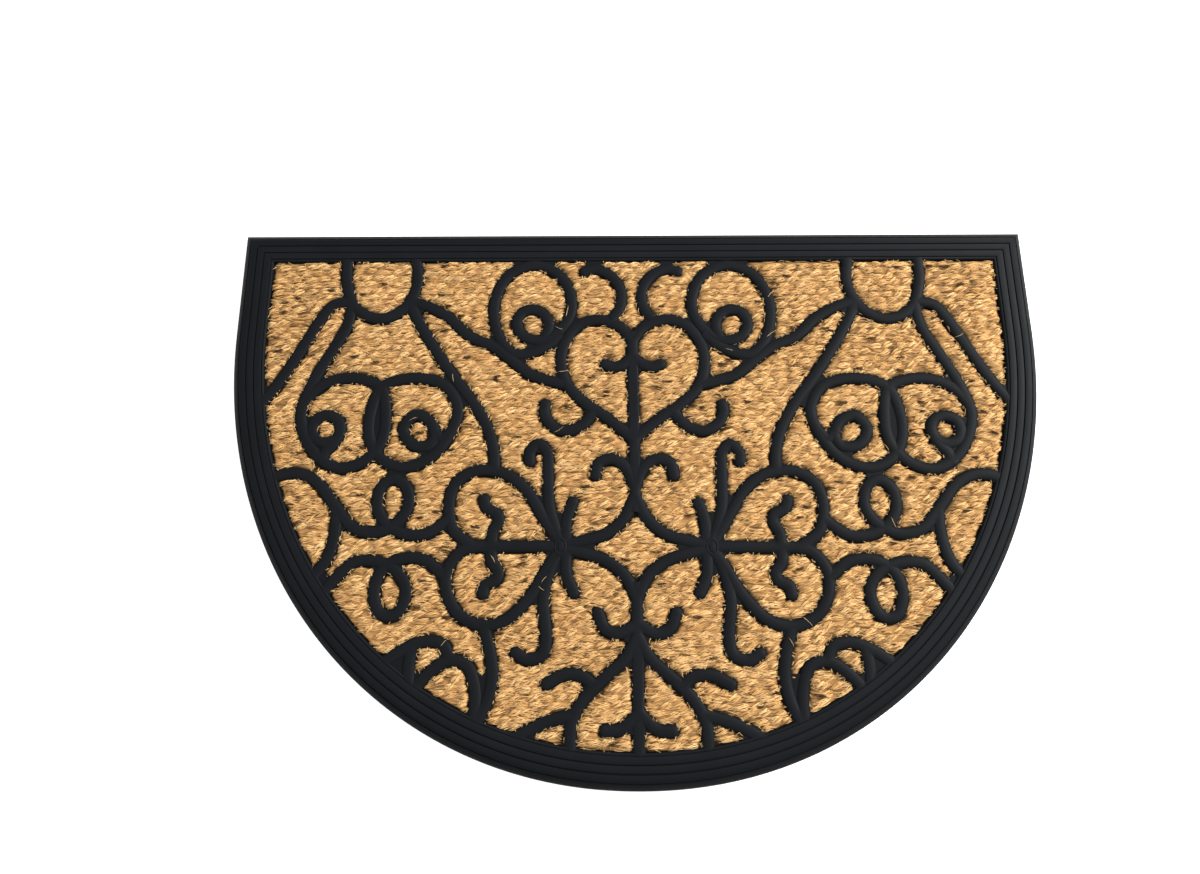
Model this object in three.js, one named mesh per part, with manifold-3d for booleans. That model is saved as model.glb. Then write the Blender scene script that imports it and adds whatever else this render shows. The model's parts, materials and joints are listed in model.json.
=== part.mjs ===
// A half-round doormat: a woven coir panel held in one black rubber moulding.
// The moulding has a flat back skin, a rim with three ridges and a pierced scrollwork grille
// whose bars press into the coir, so the coir stands up between them.
//
// Units are millimetres and +Z is up. X runs along the straight edge and +Y points at it.
// The drawing of the grille measures Y from the lowest point of the round end. The meshes are then
// moved back by half the depth, so the origin is under the middle of the mat.
import * as THREE from "three";
import { mergeVertices } from "three/addons/utils/BufferGeometryUtils.js";
import Module from "manifold-3d";

const wasm = await Module();
wasm.setup();

// Outline of the mat
const WIDTH = 600;
const DEPTH = 405;
const CURVE_DEPTH = 325; // the rounded part; the sides above it are straight
const CURVE_POWER = 2.08; // 2 would be a plain ellipse
const CURVE_STEPS = 44;

// Heights above the floor
const SKIN_TOP = 2;
const BAR_FOOT = 5.5;
const WEB_TOP = 7;
const COIR_TOP = 8.4;
const BAR_CREST = 8.9;
const CUT_TOP = 12; // pockets are cut from below the bars up to here, above the coir

// Section of a grille bar
const BAR_HALF_FOOT = 4.4;
const BAR_HALF_CREST = 2.6;
const CENTRE_BAR_EXTRA = 0.2; // the straight middle bar is this much wider on each side
const BAR_REACH = 22.4; // bars run into the rim up to this far in from its edge

// Gap between the rubber and the coir
const CLEARANCE = 0.3;

// How far the moulding lies from the symmetric drawing, as it isn't quite even: terms in u across
// the mat and v along it, each from -1 to 1
const UNEVEN_ACROSS = { base: -1.2, u: 0.8, v: -0.7, uu: 2.6, uv: 0, vv: -0.4 };
const UNEVEN_ALONG = { base: -0.4, u: -1.5, v: 0.9, uu: -1.2, uv: 0.9, vv: 0.85 };

// How far a facet may stand off the true curve, and how far the line may turn within one facet
const CHORD_ERROR = 0.55;
const TURN_LIMIT = 0.62;
const FINE_SAMPLES = 240;
const MITRE_LIMIT = 2;
const TIP_SIDES = 10;
const SAME_POINT = 1e-4; // points closer than this are one

// Section of the rim, from its outer foot inwards: how far in from the edge, and how high
const RIM_WIDTH = 24.5;
const RIM_SECTION = [
  { inset: 0, height: 0 },
  { inset: 0, height: 3 },
  { inset: 4.5, height: 6.8 },
  { inset: 5, height: 6.2 },
  { inset: 5.6, height: 7.6 },
  { inset: 10, height: 8 },
  { inset: 10.7, height: 7.1 },
  { inset: 11.4, height: 8.2 },
  { inset: 15.8, height: 8.6 },
  { inset: 16.5, height: 7.7 },
  { inset: 17.2, height: 8.8 },
  { inset: 21.6, height: 9.2 },
  { inset: 22.4, height: 8.3 },
  { inset: 23, height: 8.8 },
  { inset: RIM_WIDTH, height: 7.6 },
  { inset: RIM_WIDTH, height: SKIN_TOP },
];

// The left half of the grille, as the lines along the bars' middles. An open tip is a round hook
// end; every other end runs into another bar or into the rim. The right half mirrors it.
const HALF_BARS = [
  // Cup that hangs from the straight edge, and the stems that leave its two shoulders
  { bar: "cup", through: [
    [-218, 386], [-217, 362], [-209, 341.5], [-189.5, 333], [-171, 342.5], [-163, 361], [-165.5, 386],
  ] },
  { bar: "outer_stem", through: [
    [-213, 347.5], [-226, 344.5], [-235, 333], [-247.5, 309.5], [-262, 284], [-277, 263],
  ] },
  { bar: "shoulder_stem", through: [
    [-212, 345], [-214.5, 328], [-225, 307], [-236.5, 285], [-243.5, 266],
  ] },
  { bar: "sweep_to_heart", through: [
    [-169, 347], [-157, 344], [-138.5, 334.2], [-121.5, 318.7], [-103, 310.2], [-89, 299.2],
    [-75, 288.2], [-50.5, 281],
  ] },
  { bar: "sweep_to_side_heart", through: [
    [-168, 346], [-160.5, 330.5], [-145.7, 306.2], [-133.2, 287.7], [-117.7, 267.2], [-105.7, 245.7],
    [-101.2, 228.2], [-101, 214],
  ] },

  // Top centre: the spiral beside the upright heart, and the hook above it
  { bar: "spiral", through: [
    [-53.3, 320.8], [-64.3, 311.3], [-76.3, 305.3], [-87.8, 304.8], [-98.3, 315.3], [-103.8, 333.8],
    [-102.3, 351.3], [-91.8, 369.3], [-72.3, 376.3], [-54.3, 367.8], [-45.8, 350.3], [-46.8, 334.8],
    [-59.3, 318.8], [-72.3, 315.3], [-82.8, 320.3], [-86.3, 329.8], [-80.8, 338.8], [-70.8, 339.3],
    [-63.3, 331.8], [-62.8, 323.8], [-65.8, 316.8],
  ] },
  { bar: "top_hook", tip: true, through: [
    [-35.2, 371], [-28.2, 373], [-18.2, 369.5], [-10.2, 361], [-7.5, 351], [-9.2, 341], [-15.2, 332],
  ] },

  // Upright heart, its inner hook and the hook on its side
  { bar: "heart_lobe", through: [
    [0, 315], [-9.3, 326.2], [-25.3, 331.7], [-40.3, 327.2], [-50.3, 313.7], [-53.1, 299.7],
    [-49.3, 281.7], [-36.3, 267.2], [-19.3, 255.2], [0, 239],
  ] },
  { bar: "heart_hook", tip: true, through: [[-20.5, 296.5], [-15, 294.5], [-7, 296.5], [0, 304]] },
  { bar: "heart_side_hook", tip: true, through: [
    [-64.7, 265.6], [-65.2, 259.1], [-59.2, 249.1], [-49.2, 245.6], [-37.7, 249.6], [-29.2, 260.1],
  ] },

  // The pair of overlapping lobes with a ring in each
  { bar: "outer_lobe", closed: true, through: [
    [-186, 278.5], [-197, 284.5], [-215, 286], [-232, 279.5], [-243.5, 264], [-241, 245], [-230, 227.5],
    [-212, 218], [-193, 225], [-183, 239], [-181.5, 258],
  ] },
  { bar: "inner_lobe", closed: true, through: [
    [-186, 278.5], [-174, 284.5], [-154, 285.5], [-137.5, 279], [-128.5, 262], [-134, 243], [-147, 226],
    [-167, 218.5], [-183, 225], [-192, 239], [-193, 258],
  ] },
  { bar: "outer_ring", closed: true, through: [
    [-224.5, 257.6], [-217, 254.8], [-214, 247.5], [-217, 239.9], [-224.5, 236.9], [-232, 239.9],
    [-235, 247.5], [-232, 254.8],
  ] },
  { bar: "outer_ring_tail", through: [[-214.2, 245], [-217.5, 237.5], [-223.5, 231], [-227, 222]] },
  { bar: "inner_ring", closed: true, through: [
    [-160, 257.5], [-168, 247], [-161, 235.5], [-149, 234.5], [-144.5, 242.5], [-149, 253],
  ] },
  { bar: "inner_ring_tail", through: [[-146, 246], [-139, 240], [-133, 246]] },

  // Upper and lower waves, each with a loop, and the branch to the rim
  { bar: "upper_wave", through: [
    [-268, 207], [-256, 213], [-243, 214.5], [-229, 208.5], [-213, 189.5], [-200, 175], [-184, 171.5],
    [-169, 178.5], [-161.5, 191], [-164, 204.5], [-173, 210], [-181.5, 204], [-183.5, 190], [-177, 178],
    [-163, 170.5], [-148, 170.5], [-131, 182],
  ] },
  { bar: "wave_branch", through: [[-213, 190], [-212.5, 172], [-217, 153], [-232, 133]] },
  { bar: "lower_wave", through: [
    [-225, 119], [-211, 138], [-198, 150.5], [-184, 151.5], [-169, 145.5], [-160.5, 134],
    [-161.1, 122.8], [-165.6, 115.3], [-171.6, 113.3], [-177.6, 115.8], [-181.1, 123.3], [-182, 134],
    [-176.5, 146.5], [-162, 153.5], [-147, 151.5], [-133, 140],
  ] },

  // Side heart, which lies with its tip at the boss, and what grows from it
  { bar: "side_heart_upper", through: [
    [-52, 162], [-63, 178.5], [-78.5, 203], [-94, 214], [-113, 216], [-127.5, 207.5], [-132.5, 192],
    [-128.5, 173], [-114, 161.5],
  ] },
  { bar: "side_heart_lower", through: [
    [-52, 162], [-62, 146.5], [-74.3, 126], [-90.8, 110.5], [-107.8, 107.5], [-123.8, 115.5],
    [-132, 131], [-131.5, 146], [-122, 158.5], [-110, 161.5],
  ] },
  { bar: "side_heart_rib", through: [[-118, 161.5], [-52, 161.5]] },
  { bar: "upper_wiggle", tip: true, through: [
    [-107.5, 195], [-105.5, 189], [-98, 184.5], [-96.5, 179.5], [-100.5, 172], [-101.5, 161.5],
  ] },
  { bar: "lower_wiggle", tip: true, through: [
    [-106.5, 128.5], [-105, 134.5], [-97.5, 138.5], [-96.5, 144], [-101, 151.5], [-101.5, 161.5],
  ] },
  { bar: "upper_crook", tip: true, through: [
    [-75.5, 222.5], [-75.5, 229], [-69.5, 235.5], [-63, 230], [-62, 215], [-61, 190], [-54, 166],
  ] },
  { bar: "lower_crook", tip: true, through: [
    [-82.8, 89], [-74.8, 84.5], [-64.8, 88], [-62.3, 98], [-64.5, 126], [-60, 146], [-53, 160],
  ] },
  { bar: "upper_spur", tip: true, through: [[-44.5, 193], [-48.5, 181], [-49.5, 165]] },
  { bar: "lower_spur", tip: true, through: [[-43.5, 129.5], [-48.5, 141], [-49.5, 158]] },
  { bar: "foot_stem", through: [[-105.8, 107.2], [-100.8, 91.2], [-98.5, 73.2], [-101.5, 57], [-111, 39]] },

  // Four arcs that join the two bosses around the diamond
  { bar: "upper_arc", through: [[-52, 163], [-37, 165.5], [-21, 170.5], [-8, 181.5], [0, 198]] },
  { bar: "lower_arc", through: [[-52, 160], [-37, 157], [-21, 151.5], [-8, 141], [0, 125]] },

  // Hooks on the middle bar
  { bar: "upper_bar_hook", tip: true, through: [
    [-28, 212.5], [-25.5, 221.5], [-16, 224.5], [-6, 217.5], [0, 203],
  ] },
  { bar: "lower_bar_hook", tip: true, through: [[-27, 116], [-22.5, 105.5], [-13, 102], [0, 108.5]] },

  // Round end: the half heart that stands on the rim, its hooks, and the arches beside it
  { bar: "foot_heart", through: [[0, 101], [-8, 86], [-24, 71.5], [-38, 57], [-45, 42], [-45, 16]] },
  { bar: "foot_heart_hook", tip: true, through: [[-22.5, 38.5], [-12, 39.5], [0, 50]] },
  { bar: "foot_side_hook", tip: true, through: [[-62, 68.5], [-50, 74.5], [-37.5, 73.5], [-28, 65]] },
  { bar: "foot_brace", through: [[-44, 48.5], [-62, 44], [-88, 31]] },
  { bar: "high_arch", through: [
    [-183, 75], [-160.8, 90.3], [-144.8, 96.8], [-132.8, 94.3], [-127.3, 83.3],
  ] },
  { bar: "low_arch", through: [
    [-158, 55], [-144, 73.5], [-128, 84], [-116, 80.5], [-110, 65], [-110, 38],
  ] },
  { bar: "arch_strut", through: [[-153, 95], [-155.5, 82], [-154, 62]] },
];

// Straight bars on the middle line
const MIDDLE_BARS = [
  { bar: "middle_bar_upper", through: [[0, 186], [0, 322]] },
  { bar: "middle_bar_lower", through: [[0, 10], [0, 137]] },
];

// Low webs of rubber that fill narrow pockets between bars, and the boss in the side heart's tip
const HALF_WEBS = [
  { web: "lens", corners: [
    [-186, 277], [-193, 258], [-192, 239], [-187, 230], [-183, 239], [-181.5, 258],
  ] },
  { web: "stem_pocket", corners: [[-98.5, 76], [-112, 76], [-110, 65], [-110, 42], [-104, 48], [-99, 62]] },
  { web: "arch_pocket", corners: [
    [-155.5, 92], [-161, 91], [-176, 81], [-166, 70], [-153, 62], [-155.5, 82],
  ] },
  { web: "wave_pocket", corners: [[-216, 143], [-225, 144], [-229, 136], [-219, 126], [-212, 137]] },
  { web: "shoulder_pocket", corners: [
    [-232, 290], [-238, 283], [-243.5, 266], [-232, 279.5], [-218, 286],
  ] },
  { web: "outer_ring_pocket", corners: [
    [-241, 255], [-241, 245], [-230, 227.5], [-221, 236], [-235, 247.5],
  ] },
  { web: "inner_ring_pocket", corners: [
    [-129, 255], [-134, 243], [-147, 226], [-158, 234], [-144.5, 242.5],
  ] },
  { web: "spiral_pocket", corners: [
    [-72.3, 306.8], [-64.3, 311.3], [-54.3, 319.8], [-58.3, 323.8], [-64.3, 326.8], [-69, 321], [-72, 314],
  ] },
];
const BOSS = { x: -53, y: 161.5, radius: 5.6, crest: 4.4, top: 9.4 };

const RUBBER = new THREE.MeshStandardMaterial({ name: "black_rubber", color: 0x1d2023, roughness: 0.62 });
const COIR = new THREE.MeshStandardMaterial({ name: "woven_coir", color: 0xc99a5a, roughness: 0.95 });

// The outline moved in by inset, counter-clockwise: two corners, then the curve from left to right
function outline(inset) {
  const half = WIDTH / 2;
  const points = [];
  for (let i = 0; i <= CURVE_STEPS; i++) {
    const angle = (Math.PI * i) / CURVE_STEPS;
    const c = Math.cos(angle);
    const s = Math.sin(angle);
    const reach = (Math.abs(c) ** CURVE_POWER + s ** CURVE_POWER) ** (-1 / CURVE_POWER);
    const x = half * reach * c;
    const y = CURVE_DEPTH * reach * s;
    const nx = (Math.sign(x) * (Math.abs(x) / half) ** (CURVE_POWER - 1)) / half;
    const ny = (y / CURVE_DEPTH) ** (CURVE_POWER - 1) / CURVE_DEPTH;
    const move = inset / Math.hypot(nx, ny);
    points.push(new THREE.Vector2(x - move * nx, CURVE_DEPTH - y + move * ny));
  }
  points.push(new THREE.Vector2(-half + inset, DEPTH - inset));
  points.push(new THREE.Vector2(half - inset, DEPTH - inset));
  return points.reverse();
}

// A closed mesh from rings of equal length, each ring flat, with flat caps on the first and the last
function loft(rings, { loop = false } = {}) {
  const count = rings[0].length;
  const positions = rings.flatMap((ring) => ring.flatMap((p) => [p.x, p.y, p.z]));
  const index = [];
  const bands = loop ? rings.length : rings.length - 1;
  for (let r = 0; r < bands; r++) {
    const low = r * count;
    const high = ((r + 1) % rings.length) * count;
    for (let i = 0; i < count; i++) {
      const j = (i + 1) % count;
      index.push(low + i, low + j, high + j, low + i, high + j, high + i);
    }
  }
  if (!loop) {
    const cap = (ring, base, flip) => {
      const faces = THREE.ShapeUtils.triangulateShape(flatten(ring), []);
      for (const [a, b, c] of faces) index.push(base + a, base + (flip ? c : b), base + (flip ? b : c));
    };
    cap(rings[0], 0, true);
    cap(rings[rings.length - 1], (rings.length - 1) * count, false);
  }
  const geometry = new THREE.BufferGeometry();
  geometry.setAttribute("position", new THREE.Float32BufferAttribute(positions, 3));
  geometry.setIndex(index);
  return geometry;
}

// A ring's points in its own plane, for cutting its cap into triangles
function flatten(ring) {
  const [a, b] = [ring[0], ring[1]];
  const across = new THREE.Vector3().subVectors(b, a).normalize();
  const normal = new THREE.Vector3();
  ring.forEach((p, i) => normal.add(new THREE.Vector3().crossVectors(p, ring[(i + 1) % ring.length])));
  const up = new THREE.Vector3().crossVectors(normal.normalize(), across);
  return ring.map((p) => {
    const d = new THREE.Vector3().subVectors(p, a);
    return new THREE.Vector2(d.dot(across), d.dot(up));
  });
}

function solid(geometry) {
  const bare = new THREE.BufferGeometry();
  bare.setAttribute("position", geometry.getAttribute("position"));
  bare.setIndex(geometry.getIndex());
  const merged = mergeVertices(bare, SAME_POINT);
  const made = new wasm.Manifold(
    new wasm.Mesh({
      numProp: 3,
      vertProperties: new Float32Array(merged.attributes.position.array),
      triVerts: new Uint32Array(merged.index.array),
    }),
  );
  if (made.volume() < 0) throw new Error("a mesh is inside out");
  return made;
}

function geometryOf(manifold) {
  const mesh = manifold.getMesh();
  const geometry = new THREE.BufferGeometry();
  const positions = [];
  for (let i = 0; i < mesh.numVert; i++) {
    positions.push(...mesh.vertProperties.subarray(i * mesh.numProp, i * mesh.numProp + 3));
  }
  geometry.setAttribute("position", new THREE.Float32BufferAttribute(positions, 3));
  geometry.setIndex(Array.from(mesh.triVerts));
  return geometry;
}

const joined = (solids) => solids.reduce((whole, piece) => whole.add(piece));

// Where a point of the symmetric drawing lies on the mat
function settled([x, y]) {
  const u = x / (WIDTH / 2);
  const v = (y - DEPTH / 2) / (DEPTH / 2);
  const off = (terms) =>
    terms.base + terms.u * u + terms.v * v + terms.uu * u * u + terms.uv * u * v + terms.vv * v * v;
  return new THREE.Vector3(x + off(UNEVEN_ACROSS), y + off(UNEVEN_ALONG), 0);
}

// A bar's middle line, with only as many points as its bends need
function middleLine({ through, closed = false }) {
  const points = through.map(settled);
  if (points.length === 2) return points;
  const curve = new THREE.CatmullRomCurve3(points, closed, "centripetal");
  const fine = curve.getSpacedPoints(FINE_SAMPLES);
  const kept = [fine[0]];
  const step = (i) => new THREE.Vector3().subVectors(fine[i + 1], fine[i]);
  let start = 0;
  for (let end = 2; end < fine.length; end++) {
    const chord = new THREE.Line3(fine[start], fine[end]);
    const nearest = new THREE.Vector3();
    const strays = fine
      .slice(start + 1, end)
      .some((p) => chord.closestPointToPoint(p, true, nearest).distanceTo(p) > CHORD_ERROR);
    if (strays || step(start).angleTo(step(end - 1)) > TURN_LIMIT) {
      start = end - 1;
      kept.push(fine[start]);
    }
  }
  if (!closed) kept.push(fine[fine.length - 1]);
  return kept;
}

// A bar swept along its middle line; section is a list of how far to the left and how high
function sweep(line, section, closed) {
  const rings = line.map((p, i) => {
    const before = line[closed ? (i + line.length - 1) % line.length : Math.max(i - 1, 0)];
    const after = line[closed ? (i + 1) % line.length : Math.min(i + 1, line.length - 1)];
    const into = new THREE.Vector2(p.x - before.x, p.y - before.y);
    const out = new THREE.Vector2(after.x - p.x, after.y - p.y);
    if (into.length() === 0) into.copy(out);
    if (out.length() === 0) out.copy(into);
    const along = into.normalize().add(out.normalize()).normalize();
    const mitre = Math.min(1 / along.dot(out), MITRE_LIMIT);
    const left = new THREE.Vector2(-along.y, along.x).multiplyScalar(mitre);
    return section.map(
      ({ side, height }) => new THREE.Vector3(p.x + left.x * side, p.y + left.y * side, height),
    );
  });
  return loft(rings, { loop: closed });
}

// Round end of a hook, with its axis at the end of the middle line
function roundTip(point, foot, crest, low, high) {
  const height = high - low;
  const geometry = new THREE.CylinderGeometry(crest, foot, height, TIP_SIDES);
  geometry.deleteAttribute("normal");
  geometry.deleteAttribute("uv");
  geometry.rotateX(Math.PI / 2);
  geometry.translate(point.x, point.y, low + height / 2);
  return geometry;
}

// One bar as a solid: the bar itself, or with a clearance the pocket that it needs in the coir
function bar(row, { clearance = 0, extra = 0 } = {}) {
  const foot = BAR_HALF_FOOT + extra + clearance;
  const crest = clearance ? foot : BAR_HALF_CREST + extra;
  const low = BAR_FOOT - clearance;
  const high = clearance ? CUT_TOP : BAR_CREST;
  const section = [
    { side: foot, height: low },
    { side: crest, height: high },
    { side: -crest, height: high },
    { side: -foot, height: low },
  ];
  const line = middleLine(row);
  const swept = solid(sweep(line, section, row.closed));
  return row.tip ? swept.add(solid(roundTip(line[0], foot, crest, low, high))) : swept;
}

function web(row, clearance = 0) {
  const corners = row.corners.map(settled);
  if (THREE.ShapeUtils.isClockWise(corners)) corners.reverse();
  const low = BAR_FOOT - clearance;
  const high = clearance ? CUT_TOP : WEB_TOP;
  const geometry = loft([low, high].map((z) => corners.map((p) => new THREE.Vector3(p.x, p.y, z))));
  return solid(geometry);
}

const mirrored = (row) => {
  const flip = (points) => points && points.map(([x, y]) => [-x, y]);
  return { ...row, through: flip(row.through), corners: flip(row.corners) };
};
const bothHalves = (rows) => [...rows, ...rows.map(mirrored)];

function grille(clearance = 0) {
  const bars = bothHalves(HALF_BARS).map((row) => bar(row, { clearance }));
  const middle = MIDDLE_BARS.map((row) => bar(row, { clearance, extra: CENTRE_BAR_EXTRA }));
  const webs = bothHalves(HALF_WEBS).map((row) => web(row, clearance));
  const bosses = [BOSS.x, -BOSS.x].map((x) => {
    const radius = BOSS.radius + clearance;
    const top = clearance ? CUT_TOP : BOSS.top;
    const crest = clearance ? radius : BOSS.crest;
    return solid(roundTip(settled([x, BOSS.y]), radius, crest, BAR_FOOT - clearance, top));
  });
  return joined([...bars, ...middle, ...webs, ...bosses]);
}

function slab(inset, low, high) {
  return solid(loft([low, high].map((z) => outline(inset).map((p) => new THREE.Vector3(p.x, p.y, z)))));
}

// Back skin and rim in one: rings that climb over the rim and drop to the skin
function tray() {
  const rings = RIM_SECTION.map(({ inset, height }) =>
    outline(inset).map((p) => new THREE.Vector3(p.x, p.y, height)),
  );
  return solid(loft(rings));
}

function rubberMoulding() {
  const reach = slab(BAR_REACH, BAR_FOOT, CUT_TOP);
  return tray().add(grille().intersect(reach));
}

function coirPanel() {
  const inset = RIM_WIDTH + CLEARANCE;
  return slab(inset, SKIN_TOP + CLEARANCE, COIR_TOP).subtract(grille(CLEARANCE));
}

const mat = new THREE.Group();
mat.name = "half_round_doormat";
for (const [name, manifold, material] of [
  ["rubber_moulding", rubberMoulding(), RUBBER],
  ["coir_panel", coirPanel(), COIR],
]) {
  const mesh = new THREE.Mesh(geometryOf(manifold), material);
  mesh.name = name;
  mesh.position.y = -DEPTH / 2;
  mat.add(mesh);
}

export default mat;
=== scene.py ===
"""Looks of the half-round doormat: a woven coir panel held in one black rubber moulding.

Lengths are millimetres of the drawing unless a name says otherwise. X runs along the straight
edge, and Y counts from the lowest point of the round end to the straight edge. Shell.solid moves
each mesh into the row frame, in metres, with its origin under the middle of the mat.
"""

import json
import logging
import math
from dataclasses import dataclass, field
from enum import Enum
from typing import Any, Sequence

import bpy
import numpy as np
from mathutils import Matrix, Vector

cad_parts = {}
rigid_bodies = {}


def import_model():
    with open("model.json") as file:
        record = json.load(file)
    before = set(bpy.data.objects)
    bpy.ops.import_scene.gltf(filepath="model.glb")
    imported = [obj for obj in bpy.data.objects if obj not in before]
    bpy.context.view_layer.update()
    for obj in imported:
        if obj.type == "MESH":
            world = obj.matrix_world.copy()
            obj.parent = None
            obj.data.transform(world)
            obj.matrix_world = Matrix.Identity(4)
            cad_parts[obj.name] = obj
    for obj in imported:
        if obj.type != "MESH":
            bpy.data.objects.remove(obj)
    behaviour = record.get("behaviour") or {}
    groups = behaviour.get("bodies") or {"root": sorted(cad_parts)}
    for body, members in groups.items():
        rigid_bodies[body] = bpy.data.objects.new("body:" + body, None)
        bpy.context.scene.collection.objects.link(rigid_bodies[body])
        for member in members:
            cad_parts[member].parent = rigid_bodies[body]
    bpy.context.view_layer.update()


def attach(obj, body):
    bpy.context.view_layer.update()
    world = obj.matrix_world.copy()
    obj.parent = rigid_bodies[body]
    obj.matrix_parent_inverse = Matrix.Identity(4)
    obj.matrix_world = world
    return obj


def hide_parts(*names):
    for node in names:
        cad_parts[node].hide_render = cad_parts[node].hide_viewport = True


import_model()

MM = 0.001
ROW_PITCH = 5.0
# Least divisors: a length, and the root of a step between two points of a line
TINY = 1e-9
SAME_POINT = 1e-4
BODY = "root"

LOG = logging.getLogger("doormat")

Point = tuple[float, float]
Triple = tuple[float, float, float]
Value = Any


class Slot(Enum):
    """Material slots of the record."""

    RUBBER = "rubber"
    COIR = "coir"


class BarEnd(Enum):
    """How a grille bar's middle line ends."""

    BURIED = "both ends run into other rubber"
    HOOK = "its first point is the middle of a round tip"
    RING = "it closes on itself"


# Shader and geometry graphs


class Wire:
    """One output of a node. Python's operators on it add Math nodes to its graph."""

    def __init__(self, graph: "Graph", socket: bpy.types.NodeSocket) -> None:
        """Args:
        graph: the graph that the node stands in
        socket: the node's output
        """
        self.graph = graph
        self.socket = socket

    def math(self, operation: str, *values: Value) -> "Wire":
        """Adds a Math node.

        Args:
            operation: the Math node's operation
            values: its inputs, in order

        Returns:
            The node's output.
        """
        inputs = dict(enumerate(values))
        return self.graph.node("ShaderNodeMath", {"operation": operation}, inputs)

    def __add__(self, other: Value) -> "Wire":
        """Sum."""
        return self.math("ADD", self, other)

    def __radd__(self, other: Value) -> "Wire":
        """Sum, from the right."""
        return self.math("ADD", other, self)

    def __sub__(self, other: Value) -> "Wire":
        """Difference."""
        return self.math("SUBTRACT", self, other)

    def __rsub__(self, other: Value) -> "Wire":
        """Difference, from the right."""
        return self.math("SUBTRACT", other, self)

    def __mul__(self, other: Value) -> "Wire":
        """Product."""
        return self.math("MULTIPLY", self, other)

    def __rmul__(self, other: Value) -> "Wire":
        """Product, from the right."""
        return self.math("MULTIPLY", other, self)

    def __truediv__(self, other: Value) -> "Wire":
        """Quotient."""
        return self.math("DIVIDE", self, other)

    def __rtruediv__(self, other: Value) -> "Wire":
        """Quotient, from the right."""
        return self.math("DIVIDE", other, self)

    def ease(self, low: float, high: float) -> "Wire":
        """Runs smoothly from 0 at low to 1 at high.

        Args:
            low: where it is 0
            high: where it is 1, above or under low

        Returns:
            The eased value.
        """
        return self.graph.node(
            "ShaderNodeMapRange",
            {"interpolation_type": "SMOOTHSTEP"},
            {"Value": self, "From Min": low, "From Max": high},
        )


class Graph:
    """A node tree that is written as expressions."""

    def __init__(self, tree: bpy.types.NodeTree) -> None:
        """Args:
        tree: the empty node tree to fill
        """
        self.tree = tree

    def node(
        self, kind: str, settings: dict | None = None, inputs: dict | None = None, output: str | int = 0
    ) -> Wire:
        """Adds one node.

        Args:
            kind: the node's type
            settings: its settings, which are set first; stops are a colour ramp's
            inputs: values or wires by socket name, identifier or place
            output: name, identifier or place of the output to return

        Returns:
            The chosen output.
        """
        made = self.tree.nodes.new(kind)
        for name, value in (settings or {}).items():
            if name == "stops":
                self._set_stops(made.color_ramp, value)
            else:
                setattr(made, name, value)
        for key, value in (inputs or {}).items():
            self._plug(self._find(made.inputs, key), value)
        return Wire(self, self._find(made.outputs, output) if len(made.outputs) else None)

    @staticmethod
    def _set_stops(ramp: bpy.types.ColorRamp, stops: Sequence[tuple[float, Triple]]) -> None:
        """Gives a colour ramp its stops.

        Args:
            ramp: the ramp
            stops: place and colour of each stop
        """
        while len(ramp.elements) < len(stops):
            ramp.elements.new(1.0)
        for element, (place, colour) in zip(ramp.elements, stops):
            element.position = place
            element.color = (*colour, 1.0)

    @staticmethod
    def _find(sockets: Any, key: str | int) -> bpy.types.NodeSocket:
        """Finds a socket by place, or by identifier or name among those in use.

        Args:
            sockets: a node's inputs or outputs
            key: the place, identifier or name

        Returns:
            The socket.
        """
        if isinstance(key, int):
            return sockets[key]
        shown = [s for s in sockets if s.enabled]
        named = [s for s in sockets if s.identifier == key] or [s for s in shown if s.name == key]
        return named[0]

    def _plug(self, socket: bpy.types.NodeSocket, value: Value) -> None:
        """Links a wire into a socket, or sets its value.

        Args:
            socket: the input
            value: a wire, a list of wires for an input that takes several, or a constant
        """
        several = value if isinstance(value, list) else [value]
        for one in several:
            if isinstance(one, Wire):
                self.tree.links.new(one.socket, socket)
            elif socket.type == "RGBA" and len(one) == 3:
                socket.default_value = (*one, 1.0)
            else:
                socket.default_value = one


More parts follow.
